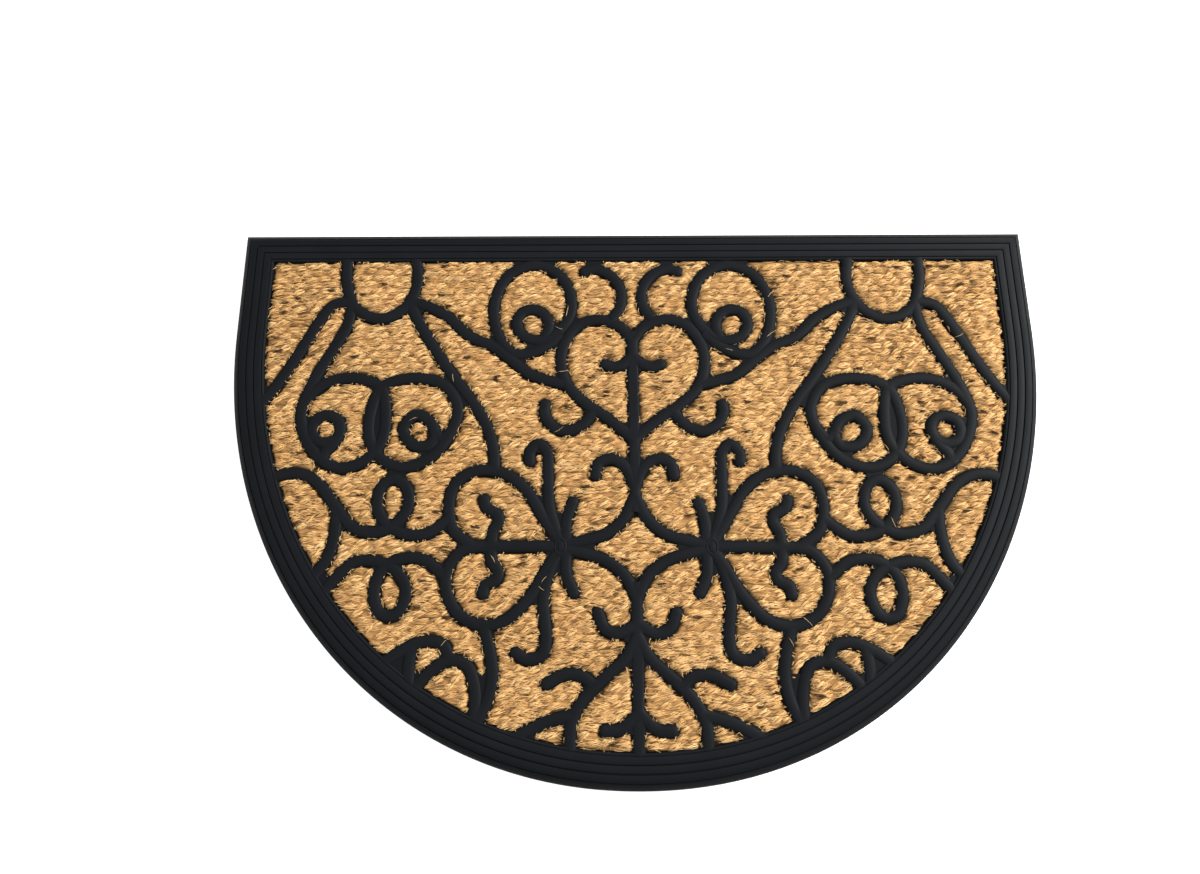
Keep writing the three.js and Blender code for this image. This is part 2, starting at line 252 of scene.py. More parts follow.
class Paint(Graph):
    """The graph of one material around a Principled BSDF."""

    def __init__(self, name: str, **constants: Value) -> None:
        """Args:
        name: the material's name
        constants: sockets that are the same all over, with _ for a space
        """
        self.material = bpy.data.materials.new(name)
        self.material.use_nodes = True
        super().__init__(self.material.node_tree)
        self.shader = self.tree.nodes["Principled BSDF"]
        for key, value in constants.items():
            self._plug(self._find(self.shader.inputs, key.replace("_", " ")), value)
        self.place = self.node("ShaderNodeTexCoord", output="Object")

    def noise(
        self, size_mm: float, detail: float, stretch: Triple = (1.0, 1.0, 1.0), rough: float = 0.5
    ) -> Wire:
        """Noise on object coordinates.

        Args:
            size_mm: size of its largest blots
            detail: octaves
            stretch: how much longer the blots are along each axis
            rough: weight of the finer octaves

        Returns:
            A value around 0.5.
        """
        scale = tuple(1.0 / s for s in stretch)
        vector = self.node("ShaderNodeMapping", {}, {"Vector": self.place, "Scale": scale})
        inputs = {"Vector": vector, "Scale": 1.0 / (size_mm * MM), "Detail": detail, "Roughness": rough}
        return self.node("ShaderNodeTexNoise", {}, inputs)

    def height(self) -> Wire:
        """Height above the floor, in millimetres."""
        return self.node("ShaderNodeSeparateXYZ", {}, {"Vector": self.place}, "Z") / MM

    def reading(self, attribute: str) -> Wire:
        """The value of a mesh attribute."""
        return self.node("ShaderNodeAttribute", {"attribute_name": attribute}, output="Fac")

    def mix(self, share: Wire, first: Value, second: Value) -> Wire:
        """Mixes two colours.

        Args:
            share: how much of the second
            first: colour or wire
            second: colour or wire

        Returns:
            The mixed colour.
        """
        inputs = {"Factor_Float": share, "A_Color": first, "B_Color": second}
        return self.node("ShaderNodeMix", {"data_type": "RGBA"}, inputs, "Result_Color")

    def finish(self, colour: Wire, roughness: Wire, relief: Wire, relief_mm: float) -> bpy.types.Material:
        """Feeds the shader.

        Args:
            colour: base colour
            roughness: roughness
            relief: height of the fine relief, from 0 to 1
            relief_mm: that relief's depth

        Returns:
            The material.
        """
        inputs = {"Strength": 1.0, "Distance": relief_mm * MM, "Height": relief}
        bump = self.node("ShaderNodeBump", {}, inputs)
        for name, wire in {"Base Color": colour, "Roughness": roughness, "Normal": bump}.items():
            self._plug(self.shader.inputs[name], wire)
        return self.material


class Recipe(Graph):
    """A Geometry Nodes tree with named inputs, which turns an object into a plain mesh."""

    def __init__(self, name: str, inputs: dict[str, str]) -> None:
        """Args:
        name: the tree's name
        inputs: socket type of each named input
        """
        super().__init__(bpy.data.node_groups.new(name, "GeometryNodeTree"))
        self.tree.interface.new_socket("Geometry", in_out="INPUT", socket_type="NodeSocketGeometry")
        self.keys = {}
        for label, kind in inputs.items():
            made = self.tree.interface.new_socket(label, in_out="INPUT", socket_type=kind)
            self.keys[label] = made.identifier
        self.tree.interface.new_socket("Geometry", in_out="OUTPUT", socket_type="NodeSocketGeometry")
        self.start = self.tree.nodes.new("NodeGroupInput")

    def given(self, label: str) -> Wire:
        """The wire of a named input."""
        return Wire(self, self.start.outputs[label])

    def end(self, geometry: Wire, material: Wire) -> None:
        """Ends the tree with real geometry in its material.

        Args:
            geometry: what the tree has made
            material: the material that all of it gets
        """
        real = self.node("GeometryNodeRealizeInstances", {}, {"Geometry": geometry})
        dressed = self.node("GeometryNodeSetMaterial", {}, {"Geometry": real, "Material": material})
        self.node("NodeGroupOutput", {}, {0: dressed})

    def make(self, name: str, source: bpy.types.Object, values: dict[str, Value]) -> bpy.types.Object:
        """Runs the tree on an object.

        Args:
            name: name of the piece to make
            source: the object that gives the tree its geometry; it is used up
            values: a value for each named input

        Returns:
            A new object with a plain mesh, at the origin.
        """
        modifier = source.modifiers.new("recipe", "NODES")
        modifier.node_group = self.tree
        for label, value in values.items():
            modifier[self.keys[label]] = value
        bpy.context.view_layer.update()
        evaluated = source.evaluated_get(bpy.context.evaluated_depsgraph_get())
        mesh = bpy.data.meshes.new_from_object(evaluated)
        mesh.name = name
        bpy.data.objects.remove(source)
        piece = bpy.data.objects.new(name, mesh)
        bpy.context.scene.collection.objects.link(piece)
        return piece


# The drawing: outline, bars and webs


@dataclass(frozen=True)
class Bar:
    """Middle line of a grille bar in the left half."""

    name: str
    through: tuple[Point, ...]
    end: BarEnd = BarEnd.BURIED


HOOK = BarEnd.HOOK
RING = BarEnd.RING

HALF_BARS = (
    Bar("cup", ((-218, 386), (-217, 362), (-209, 341.5), (-189.5, 333), (-171, 342.5), (-163, 361),
                (-165.5, 386))),
    Bar("outer_stem", ((-213, 347.5), (-226, 344.5), (-235, 333), (-247.5, 309.5), (-262, 284),
                       (-277, 263))),
    Bar("shoulder_stem", ((-212, 345), (-214.5, 328), (-225, 307), (-236.5, 285), (-243.5, 266))),
    Bar("sweep_to_heart", ((-169, 347), (-157, 344), (-138.5, 334.2), (-121.5, 318.7), (-103, 310.2),
                           (-89, 299.2), (-75, 288.2), (-50.5, 281))),
    Bar("sweep_to_side_heart", ((-168, 346), (-160.5, 330.5), (-145.7, 306.2), (-133.2, 287.7),
                                (-117.7, 267.2), (-105.7, 245.7), (-101.2, 228.2), (-101, 214))),
    Bar("spiral", ((-53.3, 320.8), (-64.3, 311.3), (-76.3, 305.3), (-87.8, 304.8), (-98.3, 315.3),
                   (-103.8, 333.8), (-102.3, 351.3), (-91.8, 369.3), (-72.3, 376.3), (-54.3, 367.8),
                   (-45.8, 350.3), (-46.8, 334.8), (-59.3, 318.8), (-72.3, 315.3), (-82.8, 320.3),
                   (-86.3, 329.8), (-80.8, 338.8), (-70.8, 339.3), (-63.3, 331.8), (-62.8, 323.8),
                   (-65.8, 316.8))),
    Bar("top_hook", ((-35.2, 371), (-28.2, 373), (-18.2, 369.5), (-10.2, 361), (-7.5, 351), (-9.2, 341),
                     (-15.2, 332)), HOOK),
    Bar("heart_lobe", ((0, 315), (-9.3, 326.2), (-25.3, 331.7), (-40.3, 327.2), (-50.3, 313.7),
                       (-53.1, 299.7), (-49.3, 281.7), (-36.3, 267.2), (-19.3, 255.2), (0, 239))),
    Bar("heart_hook", ((-20.5, 296.5), (-15, 294.5), (-7, 296.5), (0, 304)), HOOK),
    Bar("heart_side_hook", ((-64.7, 265.6), (-65.2, 259.1), (-59.2, 249.1), (-49.2, 245.6),
                            (-37.7, 249.6), (-29.2, 260.1)), HOOK),
    Bar("outer_lobe", ((-186, 278.5), (-197, 284.5), (-215, 286), (-232, 279.5), (-243.5, 264),
                       (-241, 245), (-230, 227.5), (-212, 218), (-193, 225), (-183, 239),
                       (-181.5, 258)), RING),
    Bar("inner_lobe", ((-186, 278.5), (-174, 284.5), (-154, 285.5), (-137.5, 279), (-128.5, 262),
                       (-134, 243), (-147, 226), (-167, 218.5), (-183, 225), (-192, 239),
                       (-193, 258)), RING),
    Bar("outer_ring", ((-224.5, 257.6), (-217, 254.8), (-214, 247.5), (-217, 239.9), (-224.5, 236.9),
                       (-232, 239.9), (-235, 247.5), (-232, 254.8)), RING),
    Bar("outer_ring_tail", ((-214.2, 245), (-217.5, 237.5), (-223.5, 231), (-227, 222))),
    Bar("inner_ring", ((-160, 257.5), (-168, 247), (-161, 235.5), (-149, 234.5), (-144.5, 242.5),
                       (-149, 253)), RING),
    Bar("inner_ring_tail", ((-146, 246), (-139, 240), (-133, 246))),
    Bar("upper_wave", ((-268, 207), (-256, 213), (-243, 214.5), (-229, 208.5), (-213, 189.5),
                       (-200, 175), (-184, 171.5), (-169, 178.5), (-161.5, 191), (-164, 204.5),
                       (-173, 210), (-181.5, 204), (-183.5, 190), (-177, 178), (-163, 170.5),
                       (-148, 170.5), (-131, 182))),
    Bar("wave_branch", ((-213, 190), (-212.5, 172), (-217, 153), (-232, 133))),
    Bar("lower_wave", ((-225, 119), (-211, 138), (-198, 150.5), (-184, 151.5), (-169, 145.5),
                       (-160.5, 134), (-161.1, 122.8), (-165.6, 115.3), (-171.6, 113.3),
                       (-177.6, 115.8), (-181.1, 123.3), (-182, 134), (-176.5, 146.5), (-162, 153.5),
                       (-147, 151.5), (-133, 140))),
    Bar("side_heart_upper", ((-52, 162), (-63, 178.5), (-78.5, 203), (-94, 214), (-113, 216),
                             (-127.5, 207.5), (-132.5, 192), (-128.5, 173), (-114, 161.5))),
    Bar("side_heart_lower", ((-52, 162), (-62, 146.5), (-74.3, 126), (-90.8, 110.5), (-107.8, 107.5),
                             (-123.8, 115.5), (-132, 131), (-131.5, 146), (-122, 158.5), (-110, 161.5))),
    Bar("side_heart_rib", ((-118, 161.5), (-52, 161.5))),
    Bar("upper_wiggle", ((-107.5, 195), (-105.5, 189), (-98, 184.5), (-96.5, 179.5), (-100.5, 172),
                         (-101.5, 161.5)), HOOK),
    Bar("lower_wiggle", ((-106.5, 128.5), (-105, 134.5), (-97.5, 138.5), (-96.5, 144), (-101, 151.5),
                         (-101.5, 161.5)), HOOK),
    Bar("upper_crook", ((-75.5, 222.5), (-75.5, 229), (-69.5, 235.5), (-63, 230), (-62, 215),
                        (-61, 190), (-54, 166)), HOOK),
    Bar("lower_crook", ((-82.8, 89), (-74.8, 84.5), (-64.8, 88), (-62.3, 98), (-64.5, 126), (-60, 146),
                        (-53, 160)), HOOK),
    Bar("upper_spur", ((-44.5, 193), (-48.5, 181), (-49.5, 165)), HOOK),
    Bar("lower_spur", ((-43.5, 129.5), (-48.5, 141), (-49.5, 158)), HOOK),
    Bar("foot_stem", ((-105.8, 107.2), (-100.8, 91.2), (-98.5, 73.2), (-101.5, 57), (-111, 39))),
    Bar("upper_arc", ((-52, 163), (-37, 165.5), (-21, 170.5), (-8, 181.5), (0, 198))),
    Bar("lower_arc", ((-52, 160), (-37, 157), (-21, 151.5), (-8, 141), (0, 125))),
    Bar("upper_bar_hook", ((-28, 212.5), (-25.5, 221.5), (-16, 224.5), (-6, 217.5), (0, 203)), HOOK),
    Bar("lower_bar_hook", ((-27, 116), (-22.5, 105.5), (-13, 102), (0, 108.5)), HOOK),
    Bar("foot_heart", ((0, 101), (-8, 86), (-24, 71.5), (-38, 57), (-45, 42), (-45, 16))),
    Bar("foot_heart_hook", ((-22.5, 38.5), (-12, 39.5), (0, 50)), HOOK),
    Bar("foot_side_hook", ((-62, 68.5), (-50, 74.5), (-37.5, 73.5), (-28, 65)), HOOK),
    Bar("foot_brace", ((-44, 48.5), (-62, 44), (-88, 31))),
    Bar("high_arch", ((-183, 75), (-160.8, 90.3), (-144.8, 96.8), (-132.8, 94.3), (-127.3, 83.3))),
    Bar("low_arch", ((-158, 55), (-144, 73.5), (-128, 84), (-116, 80.5), (-110, 65), (-110, 38))),
    Bar("arch_strut", ((-153, 95), (-155.5, 82), (-154, 62))),
)
MIDDLE_BARS = (
    Bar("middle_bar_upper", ((0, 186), (0, 322))),
    Bar("middle_bar_lower", ((0, 10), (0, 137))),
)
HALF_WEBS = {
    "lens": ((-186, 277), (-193, 258), (-192, 239), (-187, 230), (-183, 239), (-181.5, 258)),
    "stem_pocket": ((-98.5, 76), (-112, 76), (-110, 65), (-110, 42), (-104, 48), (-99, 62)),
    "arch_pocket": ((-155.5, 92), (-161, 91), (-176, 81), (-166, 70), (-153, 62), (-155.5, 82)),
    "wave_pocket": ((-216, 143), (-225, 144), (-229, 136), (-219, 126), (-212, 137)),
    "shoulder_pocket": ((-232, 290), (-238, 283), (-243.5, 266), (-232, 279.5), (-218, 286)),
    "outer_ring_pocket": ((-241, 255), (-241, 245), (-230, 227.5), (-221, 236), (-235, 247.5)),
    "inner_ring_pocket": ((-129, 255), (-134, 243), (-147, 226), (-158, 234), (-144.5, 242.5)),
    "spiral_pocket": ((-72.3, 306.8), (-64.3, 311.3), (-54.3, 319.8), (-58.3, 323.8), (-64.3, 326.8),
                      (-69, 321), (-72, 314)),
}


@dataclass(frozen=True)
class Unevenness:
    """How far the real moulding strays one way from the symmetric one, as a second-order surface.

    Its u runs from -1 to 1 along the straight edge and its v from -1 to 1 across the mat.
    """

    base: float
    u: float
    v: float
    uu: float
    uv: float
    vv: float

    def at(self, u: np.ndarray, v: np.ndarray) -> np.ndarray:
        """How far points stray at places of the mat."""
        return self.base + self.u * u + self.v * v + self.uu * u * u + self.uv * u * v + self.vv * v * v


@dataclass(frozen=True)
class Drawing:
    """Outline of the mat and both halves of its grille."""

    width: float = 600.0
    depth: float = 405.0
    curve_depth: float = 325.0
    curve_power: float = 2.08
    rim_width: float = 24.5
    curve_steps: int = 180
    chord_error: float = 0.05
    longest_step: float = 9.0
    across: Unevenness = Unevenness(base=-1.2, u=0.8, v=-0.7, uu=2.6, uv=0.0, vv=-0.4)
    along: Unevenness = Unevenness(base=-0.4, u=-1.5, v=0.9, uu=-1.2, uv=0.9, vv=0.85)

    def outline(self, inset: float) -> np.ndarray:
        """The outline moved in by inset, counter-clockwise.

        Args:
            inset: how far in from the mat's edge

        Returns:
            Points of the curve from left to right, then the two corners of the straight edge.
        """
        half, power = self.width / 2, self.curve_power
        angle = np.linspace(math.pi, 0.0, self.curve_steps + 1)
        across, down = np.cos(angle), np.sin(angle).clip(0.0)
        reach = (np.abs(across) ** power + down**power) ** (-1 / power)
        x, y = half * reach * across, self.curve_depth * reach * down
        normal_x = np.sign(x) * (np.abs(x) / half) ** (power - 1) / half
        normal_y = (y / self.curve_depth) ** (power - 1) / self.curve_depth
        length = np.hypot(normal_x, normal_y)
        left_to_right = x - inset * normal_x / length
        up = self.curve_depth - y + inset * normal_y / length
        corners = [[half - inset, self.depth - inset], [-half + inset, self.depth - inset]]
        return np.vstack([np.column_stack([left_to_right, up]), corners])

    def holds(self, x: np.ndarray, y: np.ndarray, inset: float) -> np.ndarray:
        """Whether points lie inside the outline moved in by inset.

        Args:
            x: places along the straight edge
            y: places across the mat
            inset: how far in from the mat's edge

        Returns:
            True for each point that lies inside.
        """
        half, drop = self.width / 2 - inset, self.curve_depth - inset
        below = (self.curve_depth - y).clip(0.0)
        inside = (np.abs(x) / half) ** self.curve_power + (below / drop) ** self.curve_power < 1
        return inside & (y < self.depth - inset)

    def settled(self, points: np.ndarray) -> np.ndarray:
        """Moves points of the symmetric grille to where the moulding's slight unevenness has them.

        Args:
            points: the points, one in each row

        Returns:
            The moved points.
        """
        x, y = points.T
        u, v = x / (self.width / 2), (y - self.depth / 2) / (self.depth / 2)
        return np.column_stack([x + self.across.at(u, v), y + self.along.at(u, v)])

    def bars(self) -> list[tuple[Bar, np.ndarray]]:
        """Every bar of both halves with its middle line.

        Returns:
            The bars, each with the points of its line.
        """
        rows = []
        for bar in HALF_BARS:
            line = self.middle_line(bar)
            rows += [(bar, self.settled(line)), (bar, self.settled(line * (-1.0, 1.0)))]
        return rows + [(bar, self.settled(np.array(bar.through, float))) for bar in MIDDLE_BARS]

    def webs(self) -> list[np.ndarray]:
        """Corners of every web of both halves, counter-clockwise.

        Returns:
            One array of corners for each web.
        """
        rows = []
        for corners in HALF_WEBS.values():
            ring = np.array(corners, float)
            ring = ring if area(ring) > 0 else ring[::-1]
            rows += [self.settled(ring), self.settled(ring[::-1] * (-1.0, 1.0))]
        return rows

    def middle_line(self, bar: Bar) -> np.ndarray:
        """A smooth line through a bar's points, with only as many points as its bends need."""
        fine = centripetal(np.array(bar.through, float), bar.end is RING)
        return thinned(fine, bar.end is RING, self.chord_error, self.longest_step)


def area(ring: np.ndarray) -> float:
    """Area of a closed line, positive when it runs counter-clockwise."""
    x, y = ring.T
    return np.sum(x * np.roll(y, -1) - y * np.roll(x, -1)) / 2


def thinned(fine: np.ndarray, closed: bool, error: float, longest: float) -> np.ndarray:
    """Drops the points that a line can do without.

    Args:
        fine: points along the line
        closed: whether it comes back to the first
        error: how far a dropped point may lie off the new line
        longest: longest piece of the new line

    Returns:
        The points that are kept.
    """
    kept, start = [fine[0]], 0
    for end in range(2, len(fine)):
        chord = fine[end] - fine[start]
        length = np.hypot(*chord)
        between = fine[start + 1:end] - fine[start]
        off = np.abs(between[:, 0] * chord[1] - between[:, 1] * chord[0]) / max(length, TINY)
        if off.max() > error or length > longest:
            start = end - 1
            kept.append(fine[start])
    return np.array(kept if closed else [*kept, fine[-1]])


def centripetal(points: np.ndarray, closed: bool, steps: int = 24) -> np.ndarray:
    """Centripetal Catmull-Rom curve.

    Args:
        points: the points that it runs through
        closed: whether it comes back to the first
        steps: samples from one point to the next

    Returns:
        The samples; a closed curve doesn't repeat its first.
    """
    if closed:
        padded = np.vstack([points[-1], points, points[:2]])
    else:
        padded = np.vstack([2 * points[0] - points[1], points, 2 * points[-1] - points[-2]])
    samples = []
    for p0, p1, p2, p3 in zip(padded, padded[1:], padded[2:], padded[3:]):
        chords = (p1 - p0, p2 - p1, p3 - p2)
        d0, d1, d2 = (max(np.hypot(*chord) ** 0.5, SAME_POINT) for chord in chords)
        t1 = ((p1 - p0) / d0 - (p2 - p0) / (d0 + d1) + (p2 - p1) / d1) * d1
        t2 = ((p2 - p1) / d1 - (p3 - p1) / (d1 + d2) + (p3 - p2) / d2) * d1
        t = (np.arange(steps) / steps)[:, None]
        square_term, cube_term = 3 * (p2 - p1) - 2 * t1 - t2, 2 * (p1 - p2) + t1 + t2
        samples.append(p1 + t1 * t + square_term * t**2 + cube_term * t**3)
    return np.vstack(samples if closed else [*samples, points[-1:]])


class Shell:
    """Vertices and faces of one mesh in the making."""

    def __init__(self) -> None:
        """Starts empty."""
        self.blocks: list[np.ndarray] = []
        self.faces: list[Sequence[int]] = []
        self.count = 0

    def add(self, points: np.ndarray) -> int:
        """Adds points.

        Args:
            points: the points, one in each row

        Returns:
            The number of the first.
        """
        first = self.count
        self.blocks.append(points)
        self.count += len(points)
        return first

    def loft(self, rings: np.ndarray, closed: bool = False, caps: bool = True) -> None:
        """Adds a skin over rings of equal length.

        Args:
            rings: points by ring and place in the ring
            closed: whether the last ring is joined to the first
            caps: whether an open skin gets a face on each end
        """
        total, size = rings.shape[:2]
        base = self.add(rings.reshape(-1, 3))
        low = np.arange(total if closed else total - 1)[:, None] * size
        high = (low + size) % (total * size)
        i = np.arange(size)[None]
        j = (i + 1) % size
        quads = np.stack([low + i, low + j, high + j, high + i], -1).reshape(-1, 4) + base
        self.faces += quads.tolist()
        if caps and not closed:
            self.faces.append(list(range(base + size - 1, base - 1, -1)))
            self.faces.append(list(range(base + (total - 1) * size, base + total * size)))

    def solid(self, name: str, drawing: Drawing) -> bpy.types.Object:
        """Makes the object, with its place in its mesh.

        Args:
            name: the object's name
            drawing: the drawing whose frame the points are in

        Returns:
            An object at the origin of the row frame.
        """
        points = (np.vstack(self.blocks) - (0.0, drawing.depth / 2, 0.0)) * MM
        return self.bare(name, points, self.faces)

    @staticmethod
    def bare(name: str, points: np.ndarray, faces: list) -> bpy.types.Object:
        """Makes an object from points in metres.

        Args:
            name: the object's name
            points: the vertices
            faces: the vertices of each face

        Returns:
            The object, at the origin.
        """
        mesh = bpy.data.meshes.new(name)
        mesh.from_pydata(points.tolist(), [], faces)
        made = bpy.data.objects.new(name, mesh)
        bpy.context.scene.collection.objects.link(made)
        return made


def raised(line: np.ndarray, height: float) -> np.ndarray:
    """Plan points at one height."""
    return np.column_stack([line, np.full(len(line), height)])


class Gaps:
    """A map of how far each place of the mat is from the rubber's edge, negative on the rubber.

    STEP is its grid, FAR is the longest distance that it tells apart, and INSIDE stands for any
    place well inside the rubber. FILLET is the radius of the rubber's fillets between bars, and
    MARGIN is how much further the search for them looks. They run under the bars by OVERLAP, and
    one is left out where it would cover less than LEAST_AREA or reach less than LEAST_DEPTH into
    the gap. FILLET_ERROR and FILLET_STEP thin its outline.
    """

    STEP = 0.5
    FAR = 14.0
    INSIDE = -2.0
    FILLET = 1.6
    MARGIN = 1.6
    OVERLAP = 1.3
    LEAST_AREA = 0.4
    LEAST_DEPTH = 0.3
    FILLET_ERROR = 0.05
    FILLET_STEP = 5.0

    def __init__(self, drawing: Drawing, half_foot: float, boss: "Boss") -> None:
        """Args:
        drawing: the drawing
        half_foot: half a bar's width
        boss: the boss in the side heart's tip
        """
        half = drawing.width / 2
        self.x = np.arange(-half, half + self.STEP, self.STEP)
        self.y = np.arange(0.0, drawing.depth + self.STEP, self.STEP)
        self.map = np.full((len(self.y), len(self.x)), self.FAR)
        self.grid = np.meshgrid(self.x, self.y)
        for bar, line in drawing.bars():
            loop = np.vstack([line, line[:1]]) if bar.end is RING else line
            for start, end in zip(loop, loop[1:]):
                self.near(start, end, half_foot)
        rim = drawing.outline(drawing.rim_width)
        for start, end in zip(rim, np.roll(rim, -1, axis=0)):
            self.near(start, end, 0.0)
        self.map[~drawing.holds(*self.grid, drawing.rim_width)] = self.INSIDE
        for ring in drawing.webs():
            self.fill(ring)
        for middle in boss.middles(drawing):
            distance = np.hypot(self.grid[0] - middle[0], self.grid[1] - middle[1]) - boss.radius
            self.map = np.minimum(self.map, distance)
        self.bare = self.map
        self.map = self.rounded()

    def near(self, start: np.ndarray, end: np.ndarray, width: float) -> None:
        """Marks the surroundings of one stretch of rubber.

        Args:
            start: one end of its middle line
            end: the other end
            width: half its width
        """
        reach = self.FAR + width
        low, high = np.minimum(start, end) - reach, np.maximum(start, end) + reach
        columns = slice(*np.searchsorted(self.x, (low[0], high[0])))
        rows = slice(*np.searchsorted(self.y, (low[1], high[1])))
        x, y = self.grid[0][rows, columns], self.grid[1][rows, columns]
        along = end - start
        share = ((x - start[0]) * along[0] + (y - start[1]) * along[1]) / max(along @ along, TINY)
        share = share.clip(0.0, 1.0)
        distance = np.hypot(x - start[0] - share * along[0], y - start[1] - share * along[1])
        self.map[rows, columns] = np.minimum(self.map[rows, columns], distance - width)

    def fill(self, ring: np.ndarray) -> None:
        """Marks the inside of a web.

        Args:
            ring: the web's corners
        """
        x, y = self.grid
        inside = np.zeros_like(self.map, bool)
        for (x0, y0), (x1, y1) in zip(ring, np.roll(ring, -1, axis=0)):
            crosses = (y0 > y) != (y1 > y)
            with np.errstate(divide="ignore", invalid="ignore"):
                inside ^= crosses & (x < (x1 - x0) * (y - y0) / (y1 - y0) + x0)
        self.map[inside] = np.minimum(self.map[inside], self.INSIDE)

    def rounded(self) -> np.ndarray:
        """The map with every narrow corner between bars filled with rubber to a round fillet.

        Returns:
            The new map.
        """
        open_space = np.where(self.bare >= self.FILLET, self.bare, -self.FAR)
        reach = int((self.FILLET + self.MARGIN) / self.STEP)
        best = open_space.copy()
        for row in range(-reach, reach + 1):
            for column in range(-reach, reach + 1):
                away = math.hypot(row, column) * self.STEP
                if 0 < away <= reach * self.STEP:
                    best = np.maximum(best, np.roll(open_space, (row, column), (0, 1)) - away)
        return np.where(best < -self.FILLET, np.minimum(self.bare, -self.FILLET), best)

    def fillets(self) -> list[np.ndarray]:
        """Outlines of the fillets, which run a little way under the bars.

        Returns:
            The closed lines.
        """
        filled = self.map - self.bare + self.LEAST_DEPTH
        region = np.maximum(np.maximum(self.map, filled), -self.OVERLAP - self.bare)
        loops = [loop for loop in contours(region, self.x, self.y) if area(loop) > self.LEAST_AREA]
        return [thinned(loop, True, self.FILLET_ERROR, self.FILLET_STEP) for loop in loops]

    def read(self, x: np.ndarray, y: np.ndarray) -> np.ndarray:
        """The distance at places of the drawing.

        Args:
            x: places along the straight edge
            y: places across the mat

        Returns:
            The distance at each place.
        """
        column = ((x - self.x[0]) / self.STEP).clip(0, len(self.x) - 1.001)
        row = ((y - self.y[0]) / self.STEP).clip(0, len(self.y) - 1.001)
        i, j = row.astype(int), column.astype(int)
        v, u = row - i, column - j
        top = self.map[i, j] * (1 - u) + self.map[i, j + 1] * u
        bottom = self.map[i + 1, j] * (1 - u) + self.map[i + 1, j + 1] * u
        return top * (1 - v) + bottom * v


def contours(values: np.ndarray, x: np.ndarray, y: np.ndarray) -> list[np.ndarray]:
    """Closed lines where a map is 0, by marching squares.

    Args:
        values: the map, by row and column
        x: place of each column
        y: place of each row

    Returns:
        The lines, with the map's negative side on their left.
    """
    inside = values < 0
    rows, columns = values.shape
    total = inside[:-1, :-1] + inside[:-1, 1:].astype(int) + inside[1:, 1:] + inside[1:, :-1]
    follower = {}
    for i, j in np.argwhere((total > 0) & (total < 4)).tolist():
        corners = inside[i, j], inside[i, j + 1], inside[i + 1, j + 1], inside[i + 1, j]
        sides = (0, i, j), (1, i, j + 1), (0, i + 1, j), (1, i, j)
        leaves = [corners[k] and not corners[(k + 1) % 4] for k in range(4)]
        enters = [corners[(k + 1) % 4] and not corners[k] for k in range(4)]
        for k in range(4):
            if leaves[k]:
                ahead = next(m % 4 for m in range(k + 1, k + 4) if enters[m % 4])
                follower[sides[k]] = sides[ahead]
    lines = []
    while follower:
        start, side = follower.popitem()
        loop = [start]
        while side != start:
            loop.append(side)
            side = follower.pop(side)
        places = []
        for upright, i, j in loop:
            first, second = values[i, j], values[i + upright, j + 1 - upright]
            share = first / (first - second)
            step_x, step_y = (0.0, y[1] - y[0]) if upright else (x[1] - x[0], 0.0)
            places.append((x[j] + share * step_x, y[i] + share * step_y))
        lines.append(np.array(places))
    return lines


def eased(value: np.ndarray, low: float, high: float) -> np.ndarray:
    """Runs smoothly from 0 at low to 1 at high."""
    share = ((value - low) / (high - low)).clip(0.0, 1.0)
    return share * share * (3 - 2 * share)


# Finishes


@dataclass(frozen=True)
class RubberFinish:
    """Satin black rubber with a painted highlight, paler on its highest parts, and a little dust on the
    outer lip.
    """

    black: Triple = (0.0060, 0.0069, 0.0080)
    # Colour of the painted highlight on the highest rubber, and the heights over which it fades in
    crest_highlight: Triple = (0.0082, 0.0094, 0.0110)
    crest_highlight_heights: Point = (7.6, 8.9)
    dust: Triple = (0.10, 0.075, 0.05)
    dust_share: float = 0.85
    dusty_height: float = 3.6
    least_roughness: float = 0.41
    cloud_mm: float = 30.0
    grain_mm: float = 1.1
    fleck_mm: float = 2.2
    relief_mm: float = 0.12
    relief_heights: Point = (0.2, 1.5)

    def material(self) -> bpy.types.Material:
        """Makes the rubber's material.

        Returns:
            The material.
        """
        paint = Paint("black_rubber", Specular_IOR_Level=0.05)
        cloud = paint.noise(self.cloud_mm, 4.0)
        grain = paint.noise(self.grain_mm, 3.0, rough=0.65)
        height = paint.height()
        # Painted highlight: the highest rubber, bar crests and rim ridges, is mixed in patches towards a
        # paler colour
        top = height.ease(*self.crest_highlight_heights)
        colour = paint.mix(top * (cloud.ease(0.3, 0.75) * 0.6 + 0.4), self.black, self.crest_highlight)
        flecks = paint.noise(self.fleck_mm, 3.0, rough=0.7).ease(0.5, 0.72)
        lip = height.ease(self.dusty_height + 0.9, self.dusty_height) * height.ease(1.0, self.dusty_height)
        colour = paint.mix(lip * flecks * self.dust_share, colour, self.dust)
        rough = cloud * 0.16 + grain * 0.12 + self.least_roughness
        return paint.finish(colour, rough, grain * height.ease(*self.relief_heights), self.relief_mm)


